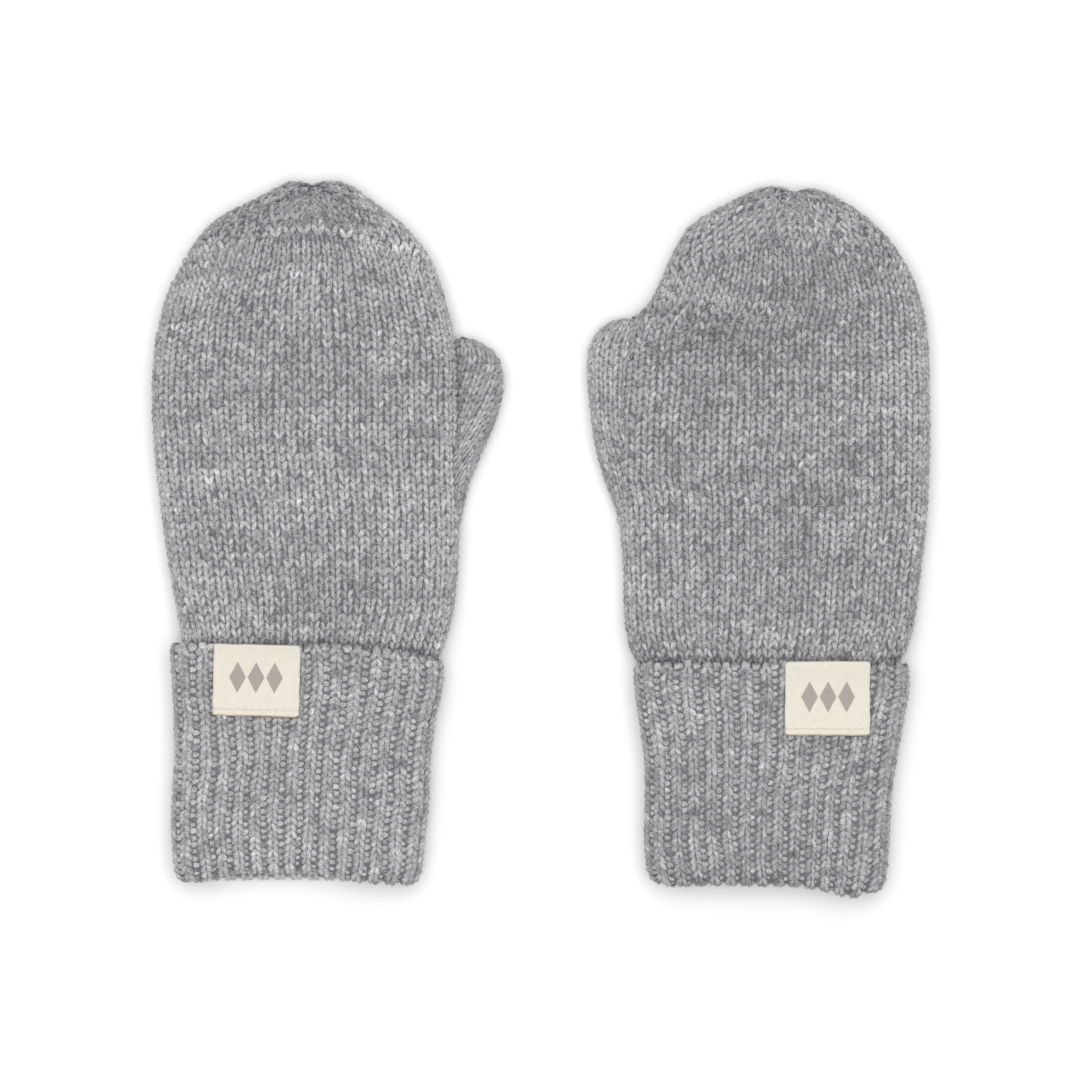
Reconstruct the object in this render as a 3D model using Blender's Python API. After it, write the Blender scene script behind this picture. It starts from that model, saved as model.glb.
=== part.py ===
"""A child's pair of wool mittens laid flat on a table, the backs of the hands up.

Each knitted piece is a wall between two sets of rings: a flattened tube with round sides, flat
underneath where it lies. Tables and sizes are in millimetres. X runs across the pair, Y towards
the finger ends and Z up from the table, and the zero point is the middle of the pair.
"""

from collections import namedtuple
import math

import bmesh
import bpy
import numpy as np

MM = 0.001

# Thickness of each cloth, and the gap left at a seam
HAND_WALL = 2.2
THUMB_WALL = 2.0
THUMB_FLOOR = 2.45
RIB_WALL = 2.0
RIB_HEIGHT = 0.7
TAPE = 1.0
SEAM_GAP = 0.3

# How high the laid pieces stand on the table
HAND_HEIGHT = 11.0
HAND_CROWN = 0.5
THUMB_HEIGHT = 9.0
CUFF_HEIGHT = 13.6

# The part of the hand that the thumb is trimmed against
BESIDE_THUMB = (-25.0, 70.0)

# The turned-up cuff: space between its two layers, and how its free edge stands off the hand
CUFF_HALF_WIDTH = 33.8
LAYER_GAP = 0.5
FLARE = 1.4
FLARE_LENGTH = 8.0
FOLD_RADIUS = RIB_WALL + LAYER_GAP / 2
CUFF_RADIUS = CUFF_HEIGHT / 2

# The hand's end where it goes into the cuff: height off the table and height of its top, by the
# distance from the cuff's free edge
WRIST_FLOOR = ((-2.2, 2.5), (1.3, 2.4), (6.3, 1.2), (11.3, 0.0))
WRIST_TOP = ((-6.0, 11.1), (-2.2, 10.8), (6.3, HAND_HEIGHT))

# Gathers in the hand's back just above the cuff
GATHER_DEPTH = 0.4
GATHER_PITCH = 11.0
GATHER_LENGTH = 14.0
GATHER_MIDDLE = 6.0
GATHER_WIDTH = 4.7

# The drawn-in finger end: a dimple in the back and a nick in the edge
DIMPLE_DEPTH = 0.9
DIMPLE_RADIUS = 3.5
NICK_DEPTH = 0.9
NICK_WIDTH = 2.0
NICK_REACH = 5.0

# The inner face of the hand is the outer face drawn in about this line, where the finger end begins
TIP_CENTRE = 50.0

# Label tape: how far it comes down the front and behind, and its clearance at the free edge
LABEL_FRONT = 18.4
LABEL_BACK = 2.0
LABEL_EDGE_GAP = 0.55
LABEL_CORNER = 0.7

# The hollow of the thumb ends this share of the wall before its pole, narrower by this share of it,
# and a pole stands at least this far past its last ring
END_GAP = 0.25
END_DRAW = 0.5
POLE_RISE = 0.2

# Steps round a ring: along each flat side and round each rolled side
HAND_FLAT, HAND_ROUND = 12, 6
THUMB_FLAT, THUMB_ROUND = 4, 6
RIB_PITCH = 4.85
RIB_SHAPE = ((0.0, 0.0), (0.24, 1.0), (0.76, 1.0))
RIB_FADE_START = -0.9
RIB_FADE = 0.5
CUFF_UNDER_STEPS = 8

# Where the cuff's rings lie: first by the distance below the free edge, then by the share of the
# way from there to the fold, and inside by the share of the way from the fold to the seam
EDGE_STEPS = (0.0, 1.5, 3.5, 8.0)
OUTER_SHARES = (0.35, 0.7, 1.0)
INNER_SHARES = (0.0, 0.35, 0.7, 1.0)
FOLD_TURNS = (30.0, 60.0, 90.0, 120.0, 150.0)

# A Row is a place along Y with the left and right edges there; an Edge is a place across with how far
# along a border lies there; a Label is its two sides and its turn in degrees
Row = namedtuple("Row", "along left right")
Edge = namedtuple("Edge", "across along")
Label = namedtuple("Label", "left right tilt")
Mitten = namedtuple(
    "Mitten",
    "name hand tip gather thumb thumb_tip cuff free_edge fold_front fold_back seam label",
)

LEFT = Mitten(
    name="left",
    hand=(
        Row(-31.0, -89.4, -28.6),
        Row(-28.5, -89.6, -26.7),
        Row(-25.0, -90.0, -23.5),
        Row(-20.0, -90.9, -22.3),
        Row(-10.0, -92.7, -21.1),
        Row(5.0, -94.9, -20.5),
        Row(20.0, -96.7, -20.8),
        Row(35.0, -97.5, -21.0),
        Row(50.0, -96.6, -21.6),
        Row(60.0, -94.2, -24.0),
        Row(65.0, -92.2, -25.5),
        Row(70.0, -89.5, -27.5),
        Row(75.0, -86.5, -30.8),
        Row(80.0, -81.7, -35.8),
        Row(82.5, -77.7, -38.8),
        Row(85.0, -72.5, -42.5),
        Row(87.0, -68.6, -45.1),
        Row(88.2, -66.3, -47.6),
        Row(89.0, -64.5, -49.2),
    ),
    tip=Edge(-57.0, 89.1),
    gather=Edge(-57.0, 85.0),
    thumb=(
        Row(4.0, -29.0, -23.0),
        Row(7.0, -29.0, -20.3),
        Row(10.0, -29.0, -19.5),
        Row(15.0, -29.0, -17.7),
        Row(20.0, -28.5, -15.7),
        Row(25.0, -26.0, -13.5),
        Row(28.0, -21.3, -12.2),
        Row(32.0, -21.3, -10.8),
        Row(37.0, -21.4, -9.6),
        Row(42.0, -21.6, -9.6),
        Row(46.0, -21.7, -10.9),
        Row(48.5, -21.8, -13.4),
        Row(50.2, -21.5, -17.0),
    ),
    thumb_tip=Edge(-19.2, 50.6),
    cuff=(
        Row(-86.0, -90.6, -31.0),
        Row(-82.0, -91.6, -30.0),
        Row(-75.0, -92.5, -29.2),
        Row(-65.0, -92.5, -28.2),
        Row(-55.0, -91.8, -27.8),
        Row(-45.0, -92.0, -26.5),
        Row(-35.0, -92.5, -24.6),
        Row(-26.0, -93.0, -24.6),
    ),
    free_edge=(Edge(-93.0, -26.3), Edge(-56.0, -26.3), Edge(-35.0, -28.5), Edge(-24.5, -31.0)),
    fold_front=(Edge(-91.0, -84.2), Edge(-84.0, -82.6), Edge(-62.0, -82.6), Edge(-31.0, -85.2)),
    fold_back=(Edge(-91.0, -84.6), Edge(-80.0, -85.5), Edge(-31.0, -85.2)),
    seam=-33.0,
    label=Label(-81.5, -60.0, -1.3),
)

RIGHT = Mitten(
    name="right",
    hand=(
        Row(-35.0, 26.7, 88.7),
        Row(-31.0, 26.7, 88.7),
        Row(-28.5, 23.3, 90.9),
        Row(-25.0, 21.8, 92.2),
        Row(-20.0, 21.0, 93.7),
        Row(-10.0, 20.7, 95.0),
        Row(5.0, 19.9, 96.7),
        Row(20.0, 19.8, 97.5),
        Row(35.0, 20.6, 97.5),
        Row(50.0, 21.8, 97.0),
        Row(55.0, 22.9, 96.4),
        Row(60.0, 27.5, 95.3),
        Row(65.0, 30.0, 93.5),
        Row(70.0, 32.2, 91.0),
        Row(75.0, 34.8, 87.5),
        Row(80.0, 39.0, 82.8),
        Row(82.5, 43.0, 79.5),
        Row(85.0, 48.2, 75.5),
        Row(87.0, 52.2, 71.8),
        Row(88.0, 54.5, 66.0),
    ),
    tip=Edge(59.5, 88.5),
    gather=Edge(63.4, 85.7),
    thumb=(
        Row(4.0, 23.0, 28.0),
        Row(7.0, 20.0, 28.0),
        Row(10.0, 18.0, 28.0),
        Row(15.0, 16.0, 28.0),
        Row(20.0, 14.5, 27.5),
        Row(25.0, 13.5, 25.0),
        Row(28.0, 13.0, 20.5),
        Row(32.0, 12.5, 20.7),
        Row(37.0, 12.0, 21.0),
        Row(44.0, 11.7, 21.7),
        Row(50.0, 12.8, 22.1),
        Row(53.0, 15.0, 22.6),
        Row(55.0, 18.0, 22.6),
    ),
    thumb_tip=Edge(20.3, 55.5),
    cuff=(
        Row(-89.0, 28.5, 85.0),
        Row(-85.0, 27.4, 86.0),
        Row(-75.0, 26.0, 87.1),
        Row(-65.0, 26.0, 87.6),
        Row(-55.0, 25.8, 89.0),
        Row(-45.0, 24.5, 90.8),
        Row(-35.0, 23.2, 92.2),
        Row(-30.0, 23.2, 92.0),
    ),
    free_edge=(
        Edge(23.0, -33.0),
        Edge(25.5, -31.1),
        Edge(61.0, -31.0),
        Edge(90.0, -31.4),
        Edge(92.0, -33.0),
    ),
    fold_front=(Edge(27.0, -84.4), Edge(35.0, -86.0), Edge(68.0, -86.6), Edge(86.0, -87.2)),
    fold_back=(
        Edge(27.0, -84.6),
        Edge(35.0, -86.4),
        Edge(68.0, -87.0),
        Edge(81.0, -89.3),
        Edge(86.0, -87.4),
    ),
    seam=-37.5,
    label=Label(61.0, 82.1, 0.0),
)


def blend(pairs, at):
    """The value of a short table of (place, value) pairs at a place, straight between its rows."""
    return np.interp(at, [p[0] for p in pairs], [p[1] for p in pairs])


def edges_at(rows, along):
    """Left and right edge of a table of rows at one place, or at an array of places."""
    ordered = sorted(rows)
    places = [r.along for r in ordered]
    return (
        np.interp(along, places, [r.left for r in ordered]),
        np.interp(along, places, [r.right for r in ordered]),
    )


def flat_ring(flat_steps, round_steps):
    """Round a flattened tube from its lowest right point: how far each point's centre lies from the
    middle, -1 to 1 of the flat part, and the direction outwards from that centre."""
    turn = np.arange(round_steps) / round_steps * math.pi - math.pi / 2
    share = 1 - 2 * np.arange(flat_steps) / flat_steps
    ones, up = np.ones(round_steps), np.full(flat_steps, math.pi / 2)
    centre = np.concatenate([ones, share, -ones, -share])
    angle = np.concatenate([turn, up, turn + math.pi, up + math.pi])
    return centre, np.cos(angle), np.sin(angle)


def tube_ring(shape, left, right, floor, top):
    """A ring of that shape between two edges and two heights: its X and Z."""
    centre, out_x, out_z = shape
    half_width, half_height = (right - left) / 2, (top - floor) / 2
    radius = min(half_width, half_height)
    x = (left + right) / 2 + (half_width - radius) * centre + radius * out_x
    return x, (floor + top) / 2 + half_height * out_z


def end_rounding(along, tip, radius):
    """How full a tube is this near its closed end: a quarter circle over its last radius."""
    reach = min(max((along - (tip - radius)) / radius, 0.0), 1.0)
    return math.sqrt(1 - reach * reach)


def bell(distance, width):
    return np.exp(-((distance / width) ** 2))


def hand_ring(mitten, row, grow=0.0):
    """One ring of the hand's outer face, with its crown, gathers and drawn-in end."""
    from_edge = row.along - mitten.free_edge[1].along
    floor = blend(WRIST_FLOOR, from_edge)
    top = blend(WRIST_TOP, from_edge)
    middle, half = (floor + top) / 2, (top - floor) / 2
    full = half * end_rounding(row.along, mitten.tip.along, half)
    shape = flat_ring(HAND_FLAT, HAND_ROUND)
    x, z = tube_ring(
        shape, row.left - grow, row.right + grow, middle - full - grow, middle + full + grow
    )
    y = np.full(len(x), row.along)
    on_back = np.clip(shape[2], 0, None)
    spread = np.clip(1 - ((x - (row.left + row.right) / 2) / (row.right - row.left) * 2) ** 2, 0, 1)
    body = np.clip(from_edge / GATHER_LENGTH, 0, 1)
    z += on_back * spread * HAND_CROWN * body
    waves = 0.5 - 0.5 * np.cos(2 * math.pi * x / GATHER_PITCH)
    z -= on_back * spread * GATHER_DEPTH * waves * bell(from_edge - GATHER_MIDDLE, GATHER_WIDTH)
    away = np.hypot(x - mitten.gather.across, y - mitten.gather.along)
    z -= on_back * DIMPLE_DEPTH * bell(away, DIMPLE_RADIUS)
    near_tip = np.clip((y - (mitten.tip.along - NICK_REACH)) / NICK_REACH, 0, 1)
    y = y - NICK_DEPTH * near_tip * bell(x - mitten.gather.across, NICK_WIDTH)
    return np.column_stack([x, y, z])


def drawn_in(points, centre, wall, half_width, half_height, middle, tip):
    """The wall's inner face: its outer face drawn in by the cloth's thickness on every side."""
    inner = points.copy()
    inner[:, 0] = centre + (points[:, 0] - centre) * (1 - wall / half_width)
    past = np.clip(points[:, 1] - TIP_CENTRE, 0, None)
    inner[:, 1] -= past * wall / (tip - TIP_CENTRE)
    inner[:, 2] = middle + (points[:, 2] - middle) * (1 - wall / half_height)
    return inner


def closed_mesh(name, points, faces):
    """A mesh of those points, in metres, with its faces turned outwards."""
    mesh = bpy.data.meshes.new(name)
    mesh.from_pydata([tuple(p) for p in np.asarray(points) * MM], [], faces)
    bm = bmesh.new()
    bm.from_mesh(mesh)
    bmesh.ops.recalc_face_normals(bm, faces=bm.faces)
    bm.to_mesh(mesh)
    bm.free()
    return mesh


def band(first, second, count):
    """The faces between two rings of a mesh, by the number of each ring's first point."""
    return [
        (first + k, first + (k + 1) % count, second + (k + 1) % count, second + k)
        for k in range(count)
    ]


def fan(first, pole, count):
    """The faces that close a ring at a pole."""
    return [(first + k, first + (k + 1) % count, pole) for k in range(count)]


def pocket(name, outer, inner, outer_pole, inner_pole):
    """A wall open at its first ring and closed at its last: two faces joined by a rim."""
    count, rows = len(outer[0]), len(outer)
    points = np.vstack([*outer, *inner, outer_pole, inner_pole])
    start = rows * count
    faces = band(0, start, count)
    for row in range(rows - 1):
        faces += band(row * count, (row + 1) * count, count)
        faces += band(start + row * count, start + (row + 1) * count, count)
    faces += fan((rows - 1) * count, len(points) - 2, count)
    faces += fan(start + (rows - 1) * count, len(points) - 1, count)
    return closed_mesh(name, points, faces)


def plug(name, rings, pole=None):
    """A solid through rings, closed by a flat face at its start and by a pole or a face at its end."""
    count, rows = len(rings[0]), len(rings)
    points = np.vstack([*rings] + ([pole] if pole is not None else []))
    faces = [tuple(range(count))]
    for row in range(rows - 1):
        faces += band(row * count, (row + 1) * count, count)
    last = (rows - 1) * count
    if pole is None:
        faces.append(tuple(range(last, last + count)))
    else:
        faces += fan(last, rows * count, count)
    return closed_mesh(name, points, faces)


def hand_rows(mitten):
    """The hand's rows, with its end ring added, which meets the cuff's inner layer at the seam."""
    end = mitten.seam + SEAM_GAP / 2
    left, right = edges_at(mitten.cuff, end)
    inset = RIB_HEIGHT + RIB_WALL + LAYER_GAP
    return (Row(end, float(left) + inset, float(right) - inset), *mitten.hand)


def hand_mesh(mitten):
    """The hand: a stockinette tube, open at the wrist and closed at the finger end."""
    rows = hand_rows(mitten)
    half_width = max(r.right - r.left for r in rows) / 2
    outer = [hand_ring(mitten, r) for r in rows]
    inner = []
    for row, ring in zip(rows, outer):
        from_edge = row.along - mitten.free_edge[1].along
        middle = (blend(WRIST_FLOOR, from_edge) + blend(WRIST_TOP, from_edge)) / 2
        centre = (row.left + row.right) / 2
        half_height = HAND_HEIGHT / 2
        inner.append(
            drawn_in(ring, centre, HAND_WALL, half_width, half_height, middle, mitten.tip.along)
        )
    pole = np.array([mitten.tip.across, mitten.tip.along, HAND_HEIGHT / 2])
    return pocket(mitten.name + "_hand", outer, inner, pole, pole - (0, HAND_WALL, 0))


def thumb_solid(mitten, name, wall=0.0, floor=0.0):
    """The whole space of the thumb, or with a wall its hollow, down to its root in the hand."""
    shape = flat_ring(THUMB_FLAT, THUMB_ROUND)
    tip = mitten.thumb_tip.along - wall
    middle = (floor + THUMB_HEIGHT - wall) / 2
    rings = []
    for row in mitten.thumb:
        full = end_rounding(row.along, tip, THUMB_HEIGHT / 2 - wall)
        half = (middle - floor) * full
        narrow = wall + (1 - full) * wall * END_DRAW
        left, right = row.left + narrow, row.right - narrow
        if row.along > tip - wall * END_GAP or right - left < wall:
            continue
        x, z = tube_ring(shape, left, right, middle - half, middle + half)
        rings.append(np.column_stack([x, np.full(len(x), row.along), z]))
    last = rings[-1]
    pole = np.array([last[:, 0].mean(), max(tip, last[0, 1] + POLE_RISE), middle])
    return plug(name, rings, pole)


def hand_clearance(mitten):
    """The hand's whole space beside the thumb, grown by the seam's gap."""
    low, high = BESIDE_THUMB
    rows = [r for r in mitten.hand if low <= r.along <= high]
    rings = [hand_ring(mitten, r, SEAM_GAP) for r in rows]
    return plug(mitten.name + "_hand_clearance", rings)


def rib_ring():
    """Round the cuff from its lowest right point, in the same terms as flat_ring, with how far each
    point rises and how high the ribs are there. Each rib has a narrow valley and two shoulders, and
    the ribs die out where the cuff lies on the table."""
    straight = 2 * (CUFF_HALF_WIDTH - CUFF_RADIUS)
    arc = math.pi * CUFF_RADIUS
    ribs = round((2 * arc + straight) / RIB_PITCH)
    pitch = (2 * arc + straight) / ribs
    centre, angle, rise = [], [], []
    for rib in range(ribs):
        for share, height in RIB_SHAPE:
            place = (rib + share) * pitch
            if place < arc:
                centre.append(1.0)
                angle.append(place / CUFF_RADIUS - math.pi / 2)
            elif place < arc + straight:
                centre.append(1 - 2 * (place - arc) / straight)
                angle.append(math.pi / 2)
            else:
                centre.append(-1.0)
                angle.append((place - straight) / CUFF_RADIUS - math.pi / 2)
            rise.append(height)
    for step in range(CUFF_UNDER_STEPS + 1):
        centre.append(-1 + 2 * step / (CUFF_UNDER_STEPS + 1))
        angle.append(-math.pi / 2)
        rise.append(0.0)
    out_x, out_z = np.cos(angle), np.sin(angle)
    crest = RIB_HEIGHT * np.clip((out_z - RIB_FADE_START) / RIB_FADE, 0, 1)
    return np.array(centre), out_x, out_z, np.array(rise) * crest, crest


def free_edge_at(mitten, across):
    return blend(mitten.free_edge, across)


def flare_at(below_edge):
    """How far the cuff's upper layer stands off, by the distance below its free edge."""
    return FLARE * np.clip(1 - below_edge / FLARE_LENGTH, 0, 1) ** 2


def cuff_mesh(mitten):
    """The cuff: a ribbed tube turned up on itself. Its rings run down the outside, round the fold,
    up the inside to the seam, and back down and up between the two layers to the free edge."""
    centre, out_x, out_z, rise, crest = rib_ring()
    left, right = edges_at(mitten.cuff, (mitten.seam + mitten.cuff[0].along) / 2)
    rolled = CUFF_RADIUS / CUFF_HALF_WIDTH
    across = (left + right) / 2 + (right - left) / 2 * (centre * (1 - rolled) + out_x * rolled)
    free = free_edge_at(mitten, across)
    front = np.clip(0.5 + out_z, 0, 1)
    fold = blend(mitten.fold_front, across) * front + blend(mitten.fold_back, across) * (1 - front)
    turn_line = fold + crest + FOLD_RADIUS

    def ring(along, inset, share=0.0, flared=True):
        low, high = edges_at(mitten.cuff, along)
        radius = CUFF_RADIUS - inset + rise * share
        half = (high - low) / 2 - RIB_HEIGHT - CUFF_RADIUS
        x = (low + high) / 2 + half * centre + radius * out_x
        z = CUFF_RADIUS + radius * out_z
        if flared:
            z = z + flare_at(free - along) * np.clip(out_z, 0, 1)
        return np.column_stack([x, along, z])

    def lining(shares, inset):
        return [ring(turn_line + (seam - turn_line) * s, inset, 0.0, False) for s in shares]

    body = free - EDGE_STEPS[-1]
    upper = [free - d for d in EDGE_STEPS] + [body + (turn_line - body) * s for s in OUTER_SHARES]
    rings = [ring(along, 0.0, 1.0) for along in upper]
    for degrees in FOLD_TURNS:
        turn = math.radians(degrees)
        share = min(1.0, (180 - degrees) / 90)
        depth = FOLD_RADIUS + rise * share
        radial = FOLD_RADIUS - FOLD_RADIUS * math.cos(turn)
        rings.append(ring(turn_line - depth * math.sin(turn), radial, share * abs(math.cos(turn))))
    seam = np.full(len(free), mitten.seam - SEAM_GAP / 2)
    rings += lining(INNER_SHARES, 2 * FOLD_RADIUS)
    rings += lining(INNER_SHARES[::-1], RIB_WALL + LAYER_GAP)
    rings.append(ring(turn_line - LAYER_GAP / 2, FOLD_RADIUS))
    rings += [ring(along, RIB_WALL) for along in upper[::-1]]
    count = len(centre)
    faces = []
    for row in range(len(rings)):
        faces += band(row * count, (row + 1) % len(rings) * count, count)
    return closed_mesh(mitten.name + "_cuff", np.vstack(rings), faces)


def label_mesh(mitten):
    """The label: a tape folded over the cuff's free edge. Its profile follows the cuff's upper
    layer at a gap, down the front and a little way down behind, and is as thick as the tape."""
    label = mitten.label
    middle = (label.left + label.right) / 2
    free = float(free_edge_at(mitten, middle))
    front_z = CUFF_HEIGHT + RIB_HEIGHT + SEAM_GAP
    back_z = CUFF_HEIGHT - RIB_WALL - SEAM_GAP
    edge = free + LABEL_EDGE_GAP

    def front(below, out):
        return (free - below, front_z + float(flare_at(below)) + out)

    def behind(below, out):
        return (free - below, back_z + float(flare_at(below)) - out)

    top, bottom, out = front_z + FLARE, back_z + FLARE, TAPE * LABEL_CORNER
    down = (LABEL_FRONT, *EDGE_STEPS[::-1])
    profile = [front(d, 0.0) for d in down]
    profile += [(edge, top - SEAM_GAP), (edge, bottom + SEAM_GAP), behind(0.0, 0.0)]
    profile += [behind(LABEL_BACK, 0.0), behind(LABEL_BACK, TAPE), behind(0.0, TAPE)]
    profile += [(edge + out, bottom - out), (edge + TAPE, bottom), (edge + TAPE, top)]
    profile += [(edge + out, top + out)]
    profile += [front(d, TAPE) for d in down[::-1]]
    turn = math.radians(label.tilt)
    centre_y = free - LABEL_FRONT / 2
    points = []
    for across in (label.left, label.right):
        for y, z in profile:
            dx, dy = across - middle, y - centre_y
            points.append(
                (
                    middle + dx * math.cos(turn) - dy * math.sin(turn),
                    centre_y + dx * math.sin(turn) + dy * math.cos(turn),
                    z,
                )
            )
    count = len(profile)
    faces = [tuple(range(count)), tuple(range(count, 2 * count))] + band(0, count, count)
    return closed_mesh(mitten.name + "_label", points, faces)


def clear_scene():
    for thing in list(bpy.data.objects):
        bpy.data.objects.remove(thing, do_unlink=True)


def material(name, colour, roughness):
    """A plain Principled finish, its colour in linear light."""
    made = bpy.data.materials.new(name)
    made.use_nodes = True
    shader = made.node_tree.nodes["Principled BSDF"]
    shader.inputs["Base Color"].default_value = (*colour, 1.0)
    shader.inputs["Roughness"].default_value = roughness
    shader.inputs["Metallic"].default_value = 0.0
    made.diffuse_color = (*colour, 1.0)
    return made


def place(mesh, collection, finish=None):
    """Puts a mesh in the scene as an object of its own name. Without a finish it is a cutter."""
    thing = bpy.data.objects.new(mesh.name, mesh)
    collection.objects.link(thing)
    if finish is None:
        thing.hide_render = True
        thing.display_type = "WIRE"
    else:
        mesh.materials.append(finish)
        mesh.shade_smooth()
    return thing


def cut(thing, cutter):
    """Takes a cutter's space out of an object."""
    step = thing.modifiers.new("Cut " + cutter.name, "BOOLEAN")
    step.operation = "DIFFERENCE"
    step.solver = "EXACT"
    step.object = cutter


def build_mitten(mitten, parts, cutters, finishes):
    knit, rib, tape = finishes
    hand = place(hand_mesh(mitten), parts, knit)
    thumb = place(thumb_solid(mitten, mitten.name + "_thumb"), parts, knit)
    hollow = place(
        thumb_solid(mitten, mitten.name + "_thumb_hollow", THUMB_WALL, THUMB_FLOOR), cutters
    )
    clearance = place(hand_clearance(mitten), cutters)
    cut(hand, hollow)
    cut(thumb, hollow)
    cut(thumb, clearance)
    place(cuff_mesh(mitten), parts, rib)
    place(label_mesh(mitten), parts, tape)


def main():
    clear_scene()
    parts = bpy.data.collections.new("Pair of mittens")
    cutters = bpy.data.collections.new("Cutters")
    bpy.context.scene.collection.children.link(parts)
    bpy.context.scene.collection.children.link(cutters)
    finishes = (
        material("Grey wool stockinette", (0.33, 0.33, 0.34), 0.95),
        material("Grey wool rib", (0.34, 0.34, 0.35), 0.95),
        material("Cream cotton tape", (0.82, 0.78, 0.70), 0.9),
    )
    for mitten in (LEFT, RIGHT):
        build_mitten(mitten, parts, cutters, finishes)


main()
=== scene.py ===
"""A child's pair of wool mittens laid flat on a pale table: knitted cloth, ribbed cuffs, tape labels.

Every knitted piece is worked out the same way. First comes its surface, a grid of points by course
(rows of knitting) and by wale (columns of knitting), on the form of the solid it replaces. Then the
stitches are laid on that grid: each leg of a stitch is one short curved strand, placed by its wale,
its course and its height over the cloth. Sizes in the code are millimetres unless a name says so.
"""

import math
from collections import namedtuple

import bpy
import numpy as np
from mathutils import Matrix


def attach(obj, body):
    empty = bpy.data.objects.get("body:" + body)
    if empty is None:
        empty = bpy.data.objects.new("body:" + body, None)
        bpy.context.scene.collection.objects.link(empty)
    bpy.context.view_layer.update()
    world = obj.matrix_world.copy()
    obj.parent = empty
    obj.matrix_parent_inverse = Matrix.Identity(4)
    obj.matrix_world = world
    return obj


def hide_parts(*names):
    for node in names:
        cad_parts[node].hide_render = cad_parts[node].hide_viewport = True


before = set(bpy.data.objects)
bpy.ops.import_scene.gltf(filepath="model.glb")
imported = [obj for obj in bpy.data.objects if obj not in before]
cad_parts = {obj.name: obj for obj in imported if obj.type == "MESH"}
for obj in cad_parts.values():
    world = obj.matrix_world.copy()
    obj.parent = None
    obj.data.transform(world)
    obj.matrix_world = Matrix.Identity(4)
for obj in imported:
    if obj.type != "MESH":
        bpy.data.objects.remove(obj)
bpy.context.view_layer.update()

bl_info = {
    "name": "Pair of mittens",
    "version": (1, 0, 0),
    "blender": (4, 5, 0),
    "location": "View3D > Sidebar > Mittens",
    "description": "Builds the knitted cloth, cuffs, labels and table of a pair of wool mittens",
    "category": "Object",
}

MM = 0.001

# Rows along the piece with the left and right edge of its outline; borders as (across, along) pairs
Row = namedtuple("Row", "along left right")
Leg = namedtuple("Leg", "path width relief stations sides")
Thumb = namedtuple("Thumb", "rows tip gather slant wales")
Label = namedtuple("Label", "left right top bottom tilt")
Mitten = namedtuple(
    "Mitten",
    "name seed tone hand ridge ridge_line ridge_rise gather folds thumb cuff free_edge fold_front"
    " fold_back seam label",
)
# A ring of stitches at the gather: how many, how far out and how large in mm, and its first place
Ring = namedtuple("Ring", "stitches away size start")

LEFT = Mitten(
    name="left",
    seed=11,
    tone=0.03,
    hand=(
        Row(-33.0, -88.8, -28.4), Row(-31.0, -89.4, -26.6), Row(-28.5, -89.7, -24.9),
        Row(-25.0, -90.0, -23.8), Row(-20.0, -90.9, -22.3), Row(-10.0, -92.7, -21.1),
        Row(5.0, -94.9, -20.5), Row(20.0, -96.7, -20.8), Row(35.0, -97.5, -21.0),
        Row(50.0, -96.6, -21.6), Row(60.0, -94.2, -24.0), Row(65.0, -92.2, -25.5),
        Row(70.0, -89.5, -27.5), Row(75.0, -86.5, -30.8), Row(80.0, -81.7, -35.8),
        Row(82.5, -77.7, -38.8), Row(85.0, -72.6, -42.4), Row(87.0, -68.8, -45.0),
        Row(88.2, -66.4, -46.8), Row(89.2, -64.2, -48.8), Row(89.9, -62.0, -51.2),
        Row(90.1, -58.5, -56.0),
    ),
    ridge=76.5,
    ridge_line=76.6,
    ridge_rise=1.0,
    gather=(-57.5, 86.3),
    folds=0.25,
    thumb=Thumb(
        rows=(
            Row(2.0, -26.0, -20.3), Row(4.0, -27.0, -20.1), Row(7.0, -27.0, -19.7),
            Row(10.0, -26.8, -19.1), Row(15.0, -26.0, -17.7), Row(20.0, -24.5, -15.7),
            Row(25.0, -22.6, -13.5), Row(28.0, -21.9, -12.2), Row(32.0, -21.7, -10.8),
            Row(37.0, -21.7, -9.7), Row(42.0, -21.8, -9.6), Row(46.0, -21.9, -10.9),
            Row(48.5, -21.8, -13.4), Row(50.2, -21.3, -17.0), Row(50.6, -20.4, -18.4),
        ),
        tip=50.6,
        gather=(-17.0, 49.0),
        slant=0.28,
        wales=13,
    ),
    cuff=(
        Row(-86.0, -91.2, -30.7), Row(-82.0, -91.8, -29.9), Row(-75.0, -92.5, -29.2),
        Row(-65.0, -92.5, -28.2), Row(-55.0, -91.8, -27.8), Row(-45.0, -92.0, -26.5),
        Row(-35.0, -92.5, -24.6), Row(-26.0, -93.0, -24.6),
    ),
    free_edge=((-93.0, -26.3), (-56.0, -26.3), (-35.0, -28.5), (-24.5, -31.0)),
    fold_front=(
        (-91.0, -85.4), (-85.0, -85.0), (-79.0, -83.4), (-73.0, -82.9), (-58.0, -82.9),
        (-50.0, -84.2), (-44.0, -85.4), (-31.0, -86.2),
    ),
    fold_back=(
        (-92.0, -85.8), (-88.0, -86.0), (-84.0, -85.5), (-62.0, -85.3), (-48.0, -85.6),
        (-31.0, -86.2),
    ),
    seam=-33.0,
    label=Label(-81.5, -60.0, -26.0, -43.8, -1.3),
)

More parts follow.
